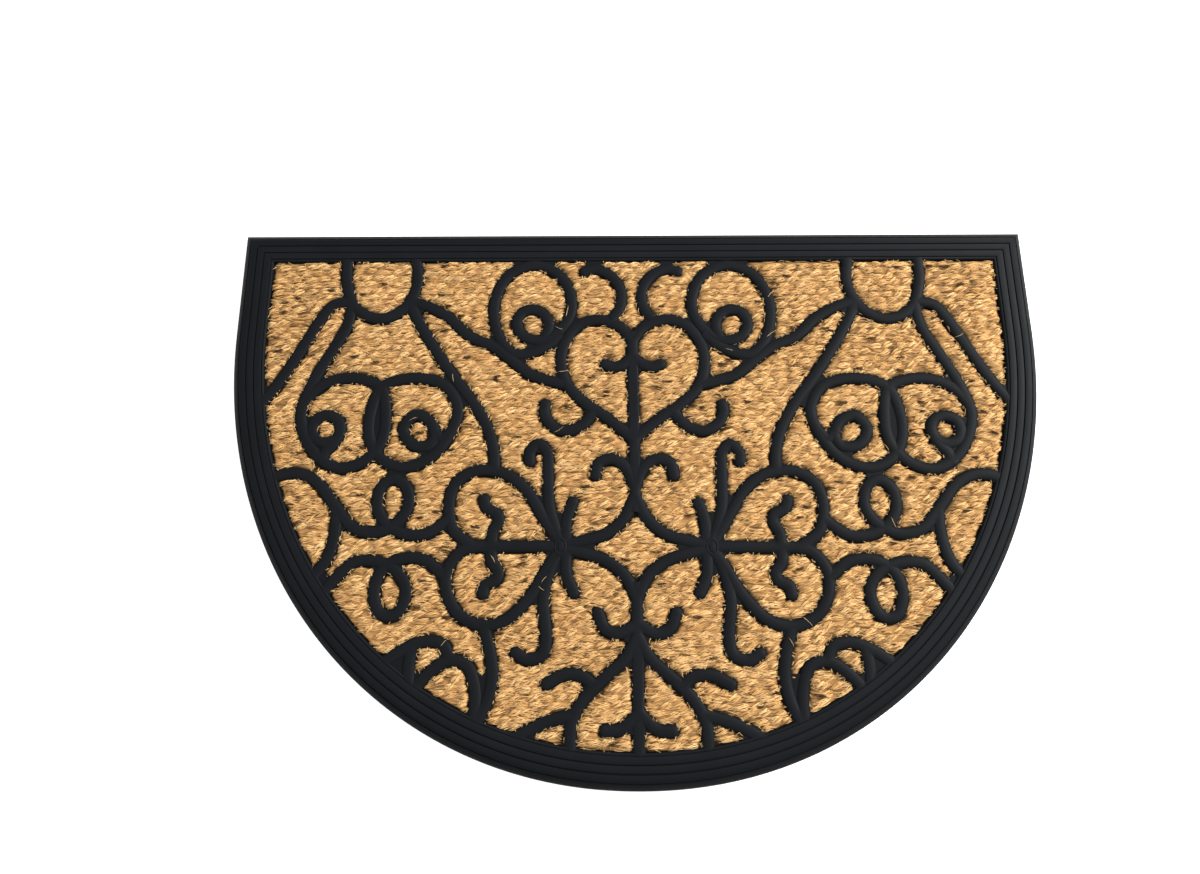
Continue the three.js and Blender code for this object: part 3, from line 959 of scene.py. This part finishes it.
@dataclass(frozen=True)
class CoirFinish:
    """Golden coconut fibre: light strands, tan ones and dark ones, with deep brown painted in as shade
    where the coir lies low beside the bars.
    """

    # deep is the darkest fibre tone and also the colour of the painted shade on low coir; low and high are
    # the heights over which that painted shade fades out
    deep: Triple = (0.06, 0.033, 0.013)
    dark: Triple = (0.38, 0.20, 0.068)
    mid: Triple = (0.73, 0.43, 0.16)
    light: Triple = (0.95, 0.70, 0.36)
    low: float = 5.4
    high: float = 7.4
    painted_shade_share: float = 0.85
    streak_mm: float = 0.9
    patch_mm: float = 45.0
    spot_mm: float = 5.0
    relief_mm: float = 0.15

    def material(self, name: str, strands: bool) -> bpy.types.Material:
        """The coir's material.

        Args:
            name: its name
            strands: whether the piece carries tone and shade attributes

        Returns:
            The material.
        """
        paint = Paint(name, Specular_IOR_Level=0.2)
        streak = paint.noise(self.streak_mm, 3.0, stretch=(9.0, 1.0, 1.0), rough=0.6)
        spots = paint.noise(self.spot_mm, 2.0, stretch=(2.0, 1.0, 1.0))
        cloud = paint.noise(self.patch_mm, 3.0) * 0.2 + spots * 0.3
        if strands:
            own = paint.reading("tone") * 0.5 + paint.reading("shade") * 0.24
            tone = own + cloud + streak * 0.12 - 0.16
        else:
            # The ground is toned darker than the strands, as painted shade in the gaps between floats
            tone = streak * 0.4 + cloud - 0.35
        stops = [(0.0, self.deep), (0.1, self.dark), (0.44, self.mid), (0.95, self.light)]
        ramp = paint.node("ShaderNodeValToRGB", {"stops": stops}, {"Fac": tone}, "Color")
        # Painted shade: coir that lies low, pressed down beside the bars, is mixed towards deep brown
        painted_shade = paint.height().ease(self.high, self.low)
        colour = paint.mix(painted_shade * self.painted_shade_share, ramp, self.deep)
        return paint.finish(colour, streak * 0.1 + 0.78, streak, self.relief_mm)


@dataclass(frozen=True)
class FloorFinish:
    """White studio floor."""

    white: Triple = (0.9, 0.9, 0.9)
    glow: float = 0.7

    def material(self) -> bpy.types.Material:
        """The floor's material."""
        white = {"Base_Color": self.white, "Roughness": 0.9, "Emission_Color": (1.0, 1.0, 1.0)}
        return Paint("studio_white", Emission_Strength=self.glow, **white).material


# Pieces


@dataclass(frozen=True)
class Boss:
    """Low oval boss with a groove round its top, in the side heart's tip."""

    x: float = -53.0
    y: float = 161.5
    radius: float = 4.8
    stretch: float = 1.5
    steps: int = 36
    section: tuple[Point, ...] = (
        (1.0, 4.8), (0.98, 8.2), (0.93, 8.8), (0.86, 9.1), (0.76, 9.25), (0.67, 9.1), (0.62, 8.6),
        (0.58, 8.4), (0.54, 8.6), (0.49, 9.1), (0.36, 9.3), (0.1, 9.4),
    )

    def middles(self, drawing: Drawing) -> np.ndarray:
        """Where the left and the right boss stand."""
        return drawing.settled(np.array([(self.x, self.y), (-self.x, self.y)]))

    def rings(self, middle: np.ndarray) -> np.ndarray:
        """Rings of the boss around its middle.

        Args:
            middle: the boss's middle

        Returns:
            Points by ring and place in the ring.
        """
        angle = np.linspace(0.0, 2 * math.pi, self.steps, endpoint=False)
        circle = np.column_stack([np.cos(angle), np.sin(angle) * self.stretch]) * self.radius
        return np.array([raised(circle * share + middle, height) for share, height in self.section])


@dataclass
class RubberMoulding:
    """The one rubber moulding: back skin, ridged rim and pierced scrollwork grille."""

    drawing: Drawing
    boss: Boss
    finish: RubberFinish = field(default_factory=RubberFinish)
    fillets: list[np.ndarray] = field(default_factory=list)
    bar_low: float = 4.8
    web_top: float = 7.8
    fillet_top: float = 7.95
    reach: float = 22.4
    limit_heights: Point = (4.0, 12.0)
    tip_steps: int = 28
    tip_flat: float = 0.4
    crease: float = 34.0
    half_section: tuple[Point, ...] = (
        (4.65, 4.8), (4.55, 6.9), (4.25, 7.6), (3.65, 8.15), (2.8, 8.55), (1.8, 8.8), (0.9, 8.91),
        (0.0, 8.95),
    )
    rim_section: tuple[Point, ...] = (
        (0.0, 0.0), (0.0, 2.5), (0.3, 3.3), (1.0, 4.1), (2.6, 5.5), (3.8, 6.45), (4.4, 6.75), (4.75, 6.3),
        (5.05, 6.45), (5.3, 7.3), (5.8, 7.7), (7.4, 8.0), (9.4, 8.08), (10.2, 7.98), (10.6, 7.3),
        (10.9, 7.4), (11.15, 8.15), (11.7, 8.45), (13.4, 8.66), (15.2, 8.7), (16.0, 8.58), (16.4, 7.9),
        (16.7, 8.0),
        (16.95, 8.75), (17.5, 9.02), (19.2, 9.2), (21.0, 9.24), (21.8, 9.12), (22.2, 8.4), (22.5, 8.45),
        (22.8, 8.8), (23.4, 8.8), (24.0, 8.4), (24.5, 7.4), (24.5, 2.0),
    )

    def tray(self) -> bpy.types.Object:
        """Back skin and rim.

        Returns:
            The closed shell.
        """
        shell = Shell()
        outline = self.drawing.outline
        shell.loft(np.array([raised(outline(inset), height) for inset, height in self.rim_section]))
        return shell.solid("tray", self.drawing)

    def limit(self) -> bpy.types.Object:
        """The block that the bars are trimmed to, which ends them inside the rim's innermost ridge.

        Returns:
            The closed shell.
        """
        shell = Shell()
        outline = self.drawing.outline(self.reach)
        shell.loft(np.array([raised(outline, height) for height in self.limit_heights]))
        return shell.solid("limit", self.drawing)

    def bar_rings(self, line: np.ndarray, closed: bool) -> np.ndarray:
        """Sections of a bar along its middle line.

        Args:
            line: points of the middle line
            closed: whether the bar is a ring

        Returns:
            Points by place along the bar and place round its section.
        """
        before = np.roll(line, 1, axis=0) if closed else np.vstack([line[:1], line[:-1]])
        after = np.roll(line, -1, axis=0) if closed else np.vstack([line[1:], line[-1:]])
        into, out = line - before, after - line
        into_length, out_length = np.hypot(*into.T)[:, None], np.hypot(*out.T)[:, None]
        into = np.where(into_length > 0, into / into_length.clip(TINY), out / out_length.clip(TINY))
        out = np.where(out_length > 0, out / out_length.clip(TINY), into)
        along = into + out
        along /= np.hypot(*along.T)[:, None]
        left = np.column_stack([-along[:, 1], along[:, 0]])
        rights = tuple((-side, height) for side, height in self.half_section[-2::-1])
        rings = [raised(line + left * side, height) for side, height in self.half_section + rights]
        return np.stack(rings, axis=1)

    def tip_rings(self, middle: np.ndarray) -> np.ndarray:
        """Rings of a hook's round end.

        Args:
            middle: the first point of the hook's middle line

        Returns:
            Points by ring and place in the ring.
        """
        angle = np.linspace(0.0, 2 * math.pi, self.tip_steps, endpoint=False)
        circle = np.column_stack([np.cos(angle), np.sin(angle)])
        rows = [*self.half_section[:-1], (self.tip_flat, self.half_section[-1][1])]
        return np.array([raised(circle * side + middle, height) for side, height in rows])

    def loose_parts(self) -> bpy.types.Object:
        """Bars, hook ends, webs and bosses, each a closed shell of its own.

        Returns:
            One object with all the shells.
        """
        shell = Shell()
        for bar, line in self.drawing.bars():
            shell.loft(self.bar_rings(line, bar.end is RING), bar.end is RING)
            if bar.end is HOOK:
                shell.loft(self.tip_rings(line[0]))
        for rings, top in ((self.drawing.webs(), self.web_top), (self.fillets, self.fillet_top)):
            for ring in rings:
                shell.loft(np.array([raised(ring, height) for height in (self.bar_low, top)]))
        for middle in self.boss.middles(self.drawing):
            shell.loft(self.boss.rings(middle))
        return shell.solid("bars", self.drawing)

    def recipe(self) -> Recipe:
        """The tree that welds the shells, trims them to the limit and welds them to the tray.

        Returns:
            The tree.
        """
        sockets = {"Tray": "NodeSocketObject", "Limit": "NodeSocketObject", "Rubber": "NodeSocketMaterial"}
        recipe = Recipe("weld", sockets)
        island = recipe.node("GeometryNodeInputMeshIsland", output="Island Index")
        split = {"Geometry": recipe.given("Geometry"), "Group ID": island}
        shells = recipe.node("GeometryNodeSplitToInstances", {"domain": "FACE"}, split)
        others = {}
        for label in ("Tray", "Limit"):
            source = {"Object": recipe.given(label)}
            others[label] = recipe.node("GeometryNodeObjectInfo", {}, source, "Geometry")
        grille = self.boolean(recipe, "UNION", [shells])
        trimmed = self.boolean(recipe, "INTERSECT", [grille, others["Limit"]])
        recipe.end(self.boolean(recipe, "UNION", [trimmed, others["Tray"]]), recipe.given("Rubber"))
        return recipe

    @staticmethod
    def boolean(recipe: Recipe, operation: str, meshes: list[Wire]) -> Wire:
        """Joins or cuts closed meshes."""
        settings = {"operation": operation, "solver": "MANIFOLD"}
        return recipe.node("GeometryNodeMeshBoolean", settings, {"Mesh 2": meshes}, "Mesh")

    def build(self) -> bpy.types.Object:
        """Returns:
            The finished piece.
        """
        tray, limit = self.tray(), self.limit()
        given = {"Tray": tray, "Limit": limit, "Rubber": self.finish.material()}
        piece = self.recipe().make("moulded_rubber", self.loose_parts(), given)
        for spent in (tray, limit):
            bpy.data.objects.remove(spent)
        piece.data.shade_smooth()
        piece.data.set_sharp_from_angle(angle=math.radians(self.crease))
        declare(piece, "rubber_moulding")
        return piece


@dataclass(frozen=True)
class Pressing:
    """How far the grille's bars press the coir down beside them."""

    gaps: Gaps
    deep: float = 2.5
    near: float = -1.0
    far: float = 1.8
    floor: float = 2.4

    def lowered(self, points: np.ndarray) -> np.ndarray:
        """Moves drawing points down where rubber is near, but not into the rubber's back skin.

        Args:
            points: the points, one in each row

        Returns:
            The moved points.
        """
        gap = self.gaps.read(points[:, 0], points[:, 1])
        height = points[:, 2] - self.deep * (1 - eased(gap, self.near, self.far))
        return np.column_stack([points[:, :2], height.clip(self.floor)])


def row_bow(x: np.ndarray, y: np.ndarray) -> np.ndarray:
    """How far the woven rows stray from straight lines."""
    return 1.6 * np.sin(x / 61 + y / 47) + 0.8 * np.sin(x / 23 - y / 31 + 1.0)


@dataclass
class CoirPanel:
    """The coir sheet under and between the bars, with the swell of its rows."""

    drawing: Drawing
    pressing: Pressing
    finish: CoirFinish = field(default_factory=CoirFinish)
    low: float = 2.3
    top: float = 7.3
    swell: float = 0.6
    inset: float = 24.7
    blunt: float = 0.4
    rows: int = 214
    columns: int = 236
    crease: float = 60.0

    def heights(self, x: np.ndarray, y: np.ndarray) -> np.ndarray:
        """Height of the coir's ground before it is pressed."""
        wave = np.cos((y + row_bow(x, y)) * 2 * math.pi / ROW_PITCH)
        return self.top + self.swell * (wave - 1) / 2

    def build(self) -> bpy.types.Object:
        """Returns:
            The finished piece.
        """
        mat = self.drawing
        half, drop = mat.width / 2 - self.inset, mat.curve_depth - self.inset
        y = np.linspace(self.inset + self.blunt, mat.depth - self.inset, self.rows)
        below = ((mat.curve_depth - y) / drop).clip(0.0, 1.0)
        reach = half * (1 - below**mat.curve_power) ** (1 / mat.curve_power)
        x = np.linspace(-1.0, 1.0, self.columns)[None] * reach[:, None]
        y = np.repeat(y[:, None], self.columns, axis=1)
        top = np.column_stack([x.ravel(), y.ravel(), self.heights(x, y).ravel()])
        shell = Shell()
        shell.add(self.pressing.lowered(top))
        number = np.arange(self.rows * self.columns).reshape(self.rows, self.columns)
        quads = np.stack([number[:-1, :-1], number[:-1, 1:], number[1:, 1:], number[1:, :-1]], -1)
        shell.faces += quads.reshape(-1, 4).tolist()
        edge = np.concatenate([number[0, :-1], number[:-1, -1], number[-1, :0:-1], number[:0:-1, 0]])
        floor = top[edge]
        floor[:, 2] = self.low
        foot = shell.add(floor) + np.arange(len(edge))
        walls = np.stack([edge, foot, np.roll(foot, -1), np.roll(edge, -1)], -1)
        shell.faces += walls.tolist() + [foot[::-1].tolist()]
        piece = shell.solid("coir_ground", mat)
        piece.data.materials.append(self.finish.material("coir_ground", strands=False))
        piece.data.shade_smooth()
        piece.data.set_sharp_from_angle(angle=math.radians(self.crease))
        declare(piece, "coir_panel")
        return piece


@dataclass
class CoirYarn:
    """One layer of coir fibre: the yarn's floats in their rows, or loose bits anywhere on them.

    A layer lays bundles of strands, of which it makes a few variants. In a bundle, strands twist
    round each other, lean apart by slant and bend, and dive at their ends. Bundles lie only where
    the gap to the rubber is between nearest and furthest.
    """

    drawing: Drawing
    pressing: Pressing
    finish: CoirFinish = field(default_factory=CoirFinish)
    name: str = "coir_yarn"
    scattered: bool = False
    seed: int = 7
    variants: int = 8
    strands: int = 12
    half_length: float = 6.6
    half_width: float = 2.4
    half_height: float = 1.0
    twist: float = 0.24
    slant: float = 0.22
    bend: float = 0.7
    dive: float = 1.8
    thickness: float = 0.29
    tones: Point = (0.05, 1.0)
    phases: Point = (-1.3, 1.3)
    depths: Point = (0.7, 1.1)
    lengths: Point = (0.55, 1.05)
    slides: Point = (-2.0, 2.0)
    lifts: Point = (-0.2, 0.25)
    radii: Point = (0.65, 1.15)
    float_pitch: float = 10.5
    float_jitter: float = 2.4
    row_jitter: float = 0.6
    spare_rows: int = 8
    per_mm2: float = 0.03
    rim_gap: float = 0.4
    lean: Triple = (0.08, 0.05, 0.24)
    least_size: Triple = (0.88, 0.9, 0.85)
    most_size: Triple = (1.15, 1.14, 1.2)
    height: float = 7.5
    nearest: float = -0.2
    furthest: float = 99.0
    zones: int = 4

    def strand(self, shell: Shell, path: np.ndarray, radius: float) -> int:
        """Adds a three-sided strand with pointed ends.

        Args:
            shell: the bundle's shell
            path: points along the strand
            radius: half the strand's thickness

        Returns:
            How many points the strand has.
        """
        along = np.gradient(path, axis=0)
        along /= np.linalg.norm(along, axis=1)[:, None]
        side = np.cross(along, (0.0, 0.0, 1.0))
        side /= np.linalg.norm(side, axis=1)[:, None]
        up = np.cross(side, along)
        angles = np.array([math.pi / 2, math.pi * 7 / 6, math.pi * 11 / 6])
        across, above = np.cos(angles)[None, :, None], np.sin(angles)[None, :, None]
        rings = path[1:-1, None] + radius * (side[1:-1, None] * across + up[1:-1, None] * above)
        first = shell.count
        shell.loft(rings[:, ::-1], caps=False)
        start, end = shell.add(path[:1]), shell.add(path[-1:])
        last = first + 3 * (len(rings) - 1)
        for i in range(3):
            j = (i + 1) % 3
            shell.faces.append([start, first + j, first + i])
            shell.faces.append([end, last + i, last + j])
        return shell.count - first

    def bundle(self, name: str, rng: np.random.Generator) -> bpy.types.Object:
        """One variant of a float, around the origin, with a tone on each strand.

        Args:
            name: the object's name
            rng: the source of all that is random

        Returns:
            The bundle.
        """
        shell, tones = Shell(), []
        share = np.linspace(-1.0, 1.0, 5)
        for _ in range(self.strands):
            phase = rng.uniform(*self.phases)
            depth = rng.uniform(*self.depths)
            x = share * self.half_length * rng.uniform(*self.lengths) + rng.uniform(*self.slides)
            turn = phase + x * self.twist
            y = depth * self.half_width * np.sin(turn) + x * rng.uniform(-1, 1) * self.slant
            y += self.bend * rng.uniform(-1, 1) * share**2
            z = depth * self.half_height * np.cos(turn) - self.dive * np.abs(x / self.half_length) ** 3
            path = np.column_stack([x, y, z + rng.uniform(*self.lifts)])
            count = self.strand(shell, path, self.thickness * rng.uniform(*self.radii))
            # Strands that lie lower in the twist get a darker tone, as painted shade
            tones += [rng.uniform(*self.tones) * (0.8 + 0.2 * math.cos(phase))] * count
        made = Shell.bare(name, np.vstack(shell.blocks) * MM, shell.faces)
        tone = made.data.attributes.new("tone", "FLOAT", "POINT")
        tone.data.foreach_set("value", np.array(tones, np.float32))
        return made

    def places(self, rng: np.random.Generator) -> np.ndarray:
        """Middles of the bundles on the coir that shows: in staggered rows, or scattered.

        Args:
            rng: the source of all that is random

        Returns:
            The points, one in each row.
        """
        mat = self.drawing
        if self.scattered:
            count = int(mat.width * mat.depth * self.per_mm2)
            x, y = rng.uniform(-mat.width / 2, mat.width / 2, count), rng.uniform(0.0, mat.depth, count)
        else:
            rows = np.arange(-self.spare_rows, int(mat.depth / ROW_PITCH) + self.spare_rows + 1)
            last = int(mat.width / 2 / self.float_pitch) + 2
            column, row = (grid.ravel() for grid in np.meshgrid(np.arange(-last, last + 1), rows))
            shift = rng.uniform(-self.float_jitter, self.float_jitter, len(column))
            x = (column + 0.5 * (row % 2)) * self.float_pitch + shift
            y = row * ROW_PITCH + rng.uniform(-self.row_jitter, self.row_jitter, len(column))
            y = y - row_bow(x, y)
        kept = mat.holds(x, y, mat.rim_width + self.rim_gap)
        x, y = x[kept], y[kept]
        gap = self.pressing.gaps.read(x, y)
        kept = (gap > self.nearest) & (gap < self.furthest)
        return np.column_stack([x[kept], y[kept], np.full(kept.sum(), self.height)])

    def recipe(self) -> Recipe:
        """The tree that lays a bundle on each point.

        Returns:
            The tree.
        """
        sockets = {"Bundles": "NodeSocketCollection", "Seed": "NodeSocketInt", "Last": "NodeSocketInt",
                   "Lean": "NodeSocketVector", "Coir": "NodeSocketMaterial"}
        recipe = Recipe("lay_yarn", sockets)
        seed, lean = recipe.given("Seed"), recipe.given("Lean")
        source = {"Collection": recipe.given("Bundles"), "Separate Children": True, "Reset Children": True}
        bundles = recipe.node("GeometryNodeCollectionInfo", {}, source, "Instances")
        choice = {"Min_002": 0, "Max_002": recipe.given("Last"), "Seed": seed}
        pick = recipe.node("FunctionNodeRandomValue", {"data_type": "INT"}, choice, "Value_002")
        least = recipe.node("ShaderNodeVectorMath", {"operation": "SCALE"}, {"Vector": lean, "Scale": -1.0})
        vector = {"data_type": "FLOAT_VECTOR"}
        leaning = {"Min": least, "Max": lean, "Seed": seed + 1}
        turn = recipe.node("FunctionNodeRandomValue", vector, leaning, "Value")
        rotation = recipe.node("FunctionNodeEulerToRotation", {}, {"Euler": turn})
        sizes = {"Min": self.least_size, "Max": self.most_size, "Seed": seed + 2}
        size = recipe.node("FunctionNodeRandomValue", vector, sizes, "Value")
        laying = {"Points": recipe.given("Geometry"), "Instance": bundles, "Pick Instance": True,
                  "Instance Index": pick, "Rotation": rotation, "Scale": size}
        laid = recipe.node("GeometryNodeInstanceOnPoints", {}, laying)
        single = {"data_type": "FLOAT"}
        shade = recipe.node("FunctionNodeRandomValue", single, {"Seed": seed + 3}, "Value_001")
        toning = {"Geometry": laid, "Name": "shade", "Value": shade}
        toned = recipe.node("GeometryNodeStoreNamedAttribute", single | {"domain": "INSTANCE"}, toning)
        recipe.end(toned, recipe.given("Coir"))
        return recipe

    def build(self) -> list[bpy.types.Object]:
        """Makes the yarn in zones from left to right and declares each.

        Returns:
            The finished pieces.
        """
        rng = np.random.default_rng(self.seed)
        bundles = bpy.data.collections.new(self.name)
        bpy.context.scene.collection.children.link(bundles)
        for number in range(self.variants):
            made = self.bundle(f"bundle_{number}", rng)
            bpy.context.scene.collection.objects.unlink(made)
            bundles.objects.link(made)
        places = self.places(rng)
        places = places[np.argsort(places[:, 0])]
        recipe, material = self.recipe(), self.finish.material(self.name, strands=True)
        pieces = []
        for zone, points in enumerate(np.array_split(places, self.zones)):
            shell = Shell()
            shell.add(points)
            given = {"Bundles": bundles, "Seed": self.seed + 10 * zone, "Last": self.variants - 1,
                     "Lean": self.lean, "Coir": material}
            piece = recipe.make(f"{self.name}_{zone + 1}", shell.solid("places", self.drawing), given)
            self.press(piece)
            declare(piece, "coir_panel")
            pieces.append(piece)
        for made in list(bundles.objects):
            bpy.data.objects.remove(made)
        bpy.data.collections.remove(bundles)
        return pieces

    def press(self, piece: bpy.types.Object) -> None:
        """Bends a zone's strands down beside the rubber.

        Args:
            piece: the zone
        """
        mesh = piece.data
        flat = np.empty(len(mesh.vertices) * 3)
        mesh.vertices.foreach_get("co", flat)
        shift = (0.0, self.drawing.depth / 2, 0.0)
        lowered = self.pressing.lowered(flat.reshape(-1, 3) / MM + shift)
        mesh.vertices.foreach_set("co", ((lowered - shift) * MM).ravel())
        mesh.update()
        mesh.shade_smooth()


def coir_layers(drawing: Drawing, gaps: Gaps, pressing: Pressing) -> list[CoirYarn]:
    """The layers of fibre, from the yarn up to the loose bits on it.

    Args:
        drawing: the drawing
        gaps: the map of the gaps between bars
        pressing: how the bars press the yarn and the wisps down

    Returns:
        The yarn, loose wisps, dark bits of husk, a fringe along the rubber, and stray fibres.
    """
    wisps = CoirYarn(
        drawing, pressing, name="coir_wisps", scattered=True, seed=23, strands=3, half_length=6.5,
        half_width=1.8, half_height=0.5, twist=0.04, slant=0.3, bend=1.2, dive=0.5, thickness=0.19,
        tones=(0.35, 1.0), lean=(0.05, 0.04, 0.3), height=8.15, nearest=0.3, zones=2,
    )
    husk = CoirYarn(
        drawing, pressing, name="coir_husk", scattered=True, seed=41, strands=8, half_length=3.4,
        half_width=0.9, half_height=0.25, twist=0.0, slant=0.15, bend=0.5, dive=0.3, thickness=0.33,
        tones=(-1.8, -0.6), per_mm2=0.0016, lean=(0.05, 0.04, 0.25), height=8.7, nearest=1.4, zones=1,
    )
    fringe = CoirYarn(
        drawing, Pressing(gaps, deep=0.5), name="coir_fringe", scattered=True, seed=59, strands=2,
        half_length=1.9, half_width=0.9, half_height=0.2, twist=0.0, slant=0.6, bend=0.5, dive=0.4,
        thickness=0.17, tones=(0.4, 1.1), per_mm2=0.16, lean=(0.1, 0.2, 3.14), height=8.25,
        nearest=-0.9, furthest=0.8, zones=1,
    )
    strays = CoirYarn(
        drawing, Pressing(gaps, deep=0.0), name="coir_strays", scattered=True, seed=83, strands=1,
        half_length=5.5, half_width=0.1, half_height=0.0, twist=0.0, slant=0.2, bend=1.2, dive=0.4,
        thickness=0.13, tones=(1.0, 1.3), per_mm2=0.0005, lean=(0.0, 0.0, 3.14), height=9.1,
        nearest=-6.0, furthest=-2.0, zones=1,
    )
    return [CoirYarn(drawing, pressing), wisps, husk, fringe, strays]


def declare(piece: bpy.types.Object, node: str) -> None:
    """Ties a piece to the body and hides the CAD node that it stands for.

    Args:
        piece: the piece
        node: the node
    """
    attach(piece, BODY)
    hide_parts(node)


# Studio


@dataclass(frozen=True)
class Studio:
    """White floor, soft lights and the camera of the photograph."""

    floor_size: float = 8.0
    camera_place: Triple = (-0.02535, -0.13629, 0.63124)
    tilt: float = 15.634
    pan: float = 0.062
    roll: float = -0.21
    lens: float = 26.82
    key_place: Triple = (2.0, 0.8, 1.5)
    key_watts: float = 144.0
    fill_place: Triple = (-2.0, -0.3, 1.5)
    fill_share: float = 0.09
    light_size: float = 1.2
    world: float = 0.46

    def floor(self) -> None:
        """A white sheet under the mat."""
        half = self.floor_size / 2
        corners = np.array([(-half, -half, 0), (half, -half, 0), (half, half, 0), (-half, half, 0)], float)
        floor = Shell.bare("floor", corners, [(0, 1, 2, 3)])
        floor.data.materials.append(FloorFinish().material())

    def light(self, name: str, place: Triple, watts: float) -> None:
        """A square soft light that faces the mat.

        Args:
            name: the light's name
            place: where it hangs, in metres
            watts: its power
        """
        data = bpy.data.lights.new(name, "AREA")
        data.size = self.light_size
        data.energy = watts
        lamp = bpy.data.objects.new(name, data)
        lamp.location = place
        lamp.rotation_euler = (-Vector(place)).to_track_quat("-Z", "Y").to_euler()
        bpy.context.scene.collection.objects.link(lamp)

    def camera(self) -> None:
        """The camera that sees the mat as the photograph does."""
        data = bpy.data.cameras.new("camera")
        data.lens = self.lens
        data.sensor_width = 36.0
        data.sensor_fit = "HORIZONTAL"
        data.clip_start = 0.01
        camera = bpy.data.objects.new("camera", data)
        turn = Matrix.Identity(4)
        for angle, axis in ((self.tilt, "X"), (self.pan, "Y"), (self.roll, "Z")):
            turn = turn @ Matrix.Rotation(math.radians(angle), 4, axis)
        camera.matrix_world = Matrix.Translation(self.camera_place) @ turn
        bpy.context.scene.collection.objects.link(camera)
        bpy.context.scene.camera = camera

    def build(self) -> None:
        """Sets the stage."""
        self.floor()
        self.light("key", self.key_place, self.key_watts)
        self.light("fill", self.fill_place, self.key_watts * self.fill_share)
        scene = bpy.context.scene
        scene.world = bpy.data.worlds.new("studio")
        scene.world.use_nodes = True
        sky = scene.world.node_tree.nodes["Background"]
        sky.inputs["Color"].default_value = (1.0, 1.0, 1.0, 1.0)
        sky.inputs["Strength"].default_value = self.world
        scene.view_settings.view_transform = "Standard"
        self.camera()


def main() -> None:
    """Builds the mat and its studio, and reports each piece."""
    logging.basicConfig(level=logging.INFO, format="%(name)s: %(message)s")
    drawing, boss = Drawing(), Boss()
    gaps = Gaps(drawing, RubberMoulding.half_section[0][0], boss)
    rubber = RubberMoulding(drawing, boss, fillets=gaps.fillets())
    pressing = Pressing(gaps)
    ground = CoirPanel(drawing, pressing).build()
    yarn = [piece for layer in coir_layers(drawing, gaps, pressing) for piece in layer.build()]
    for piece in [rubber.build(), ground, *yarn]:
        faces = sum(len(face.vertices) - 2 for face in piece.data.polygons)
        LOG.info("%s: %d triangles", piece.name, faces)
    Studio().build()


if __name__ == "__main__":
    main()
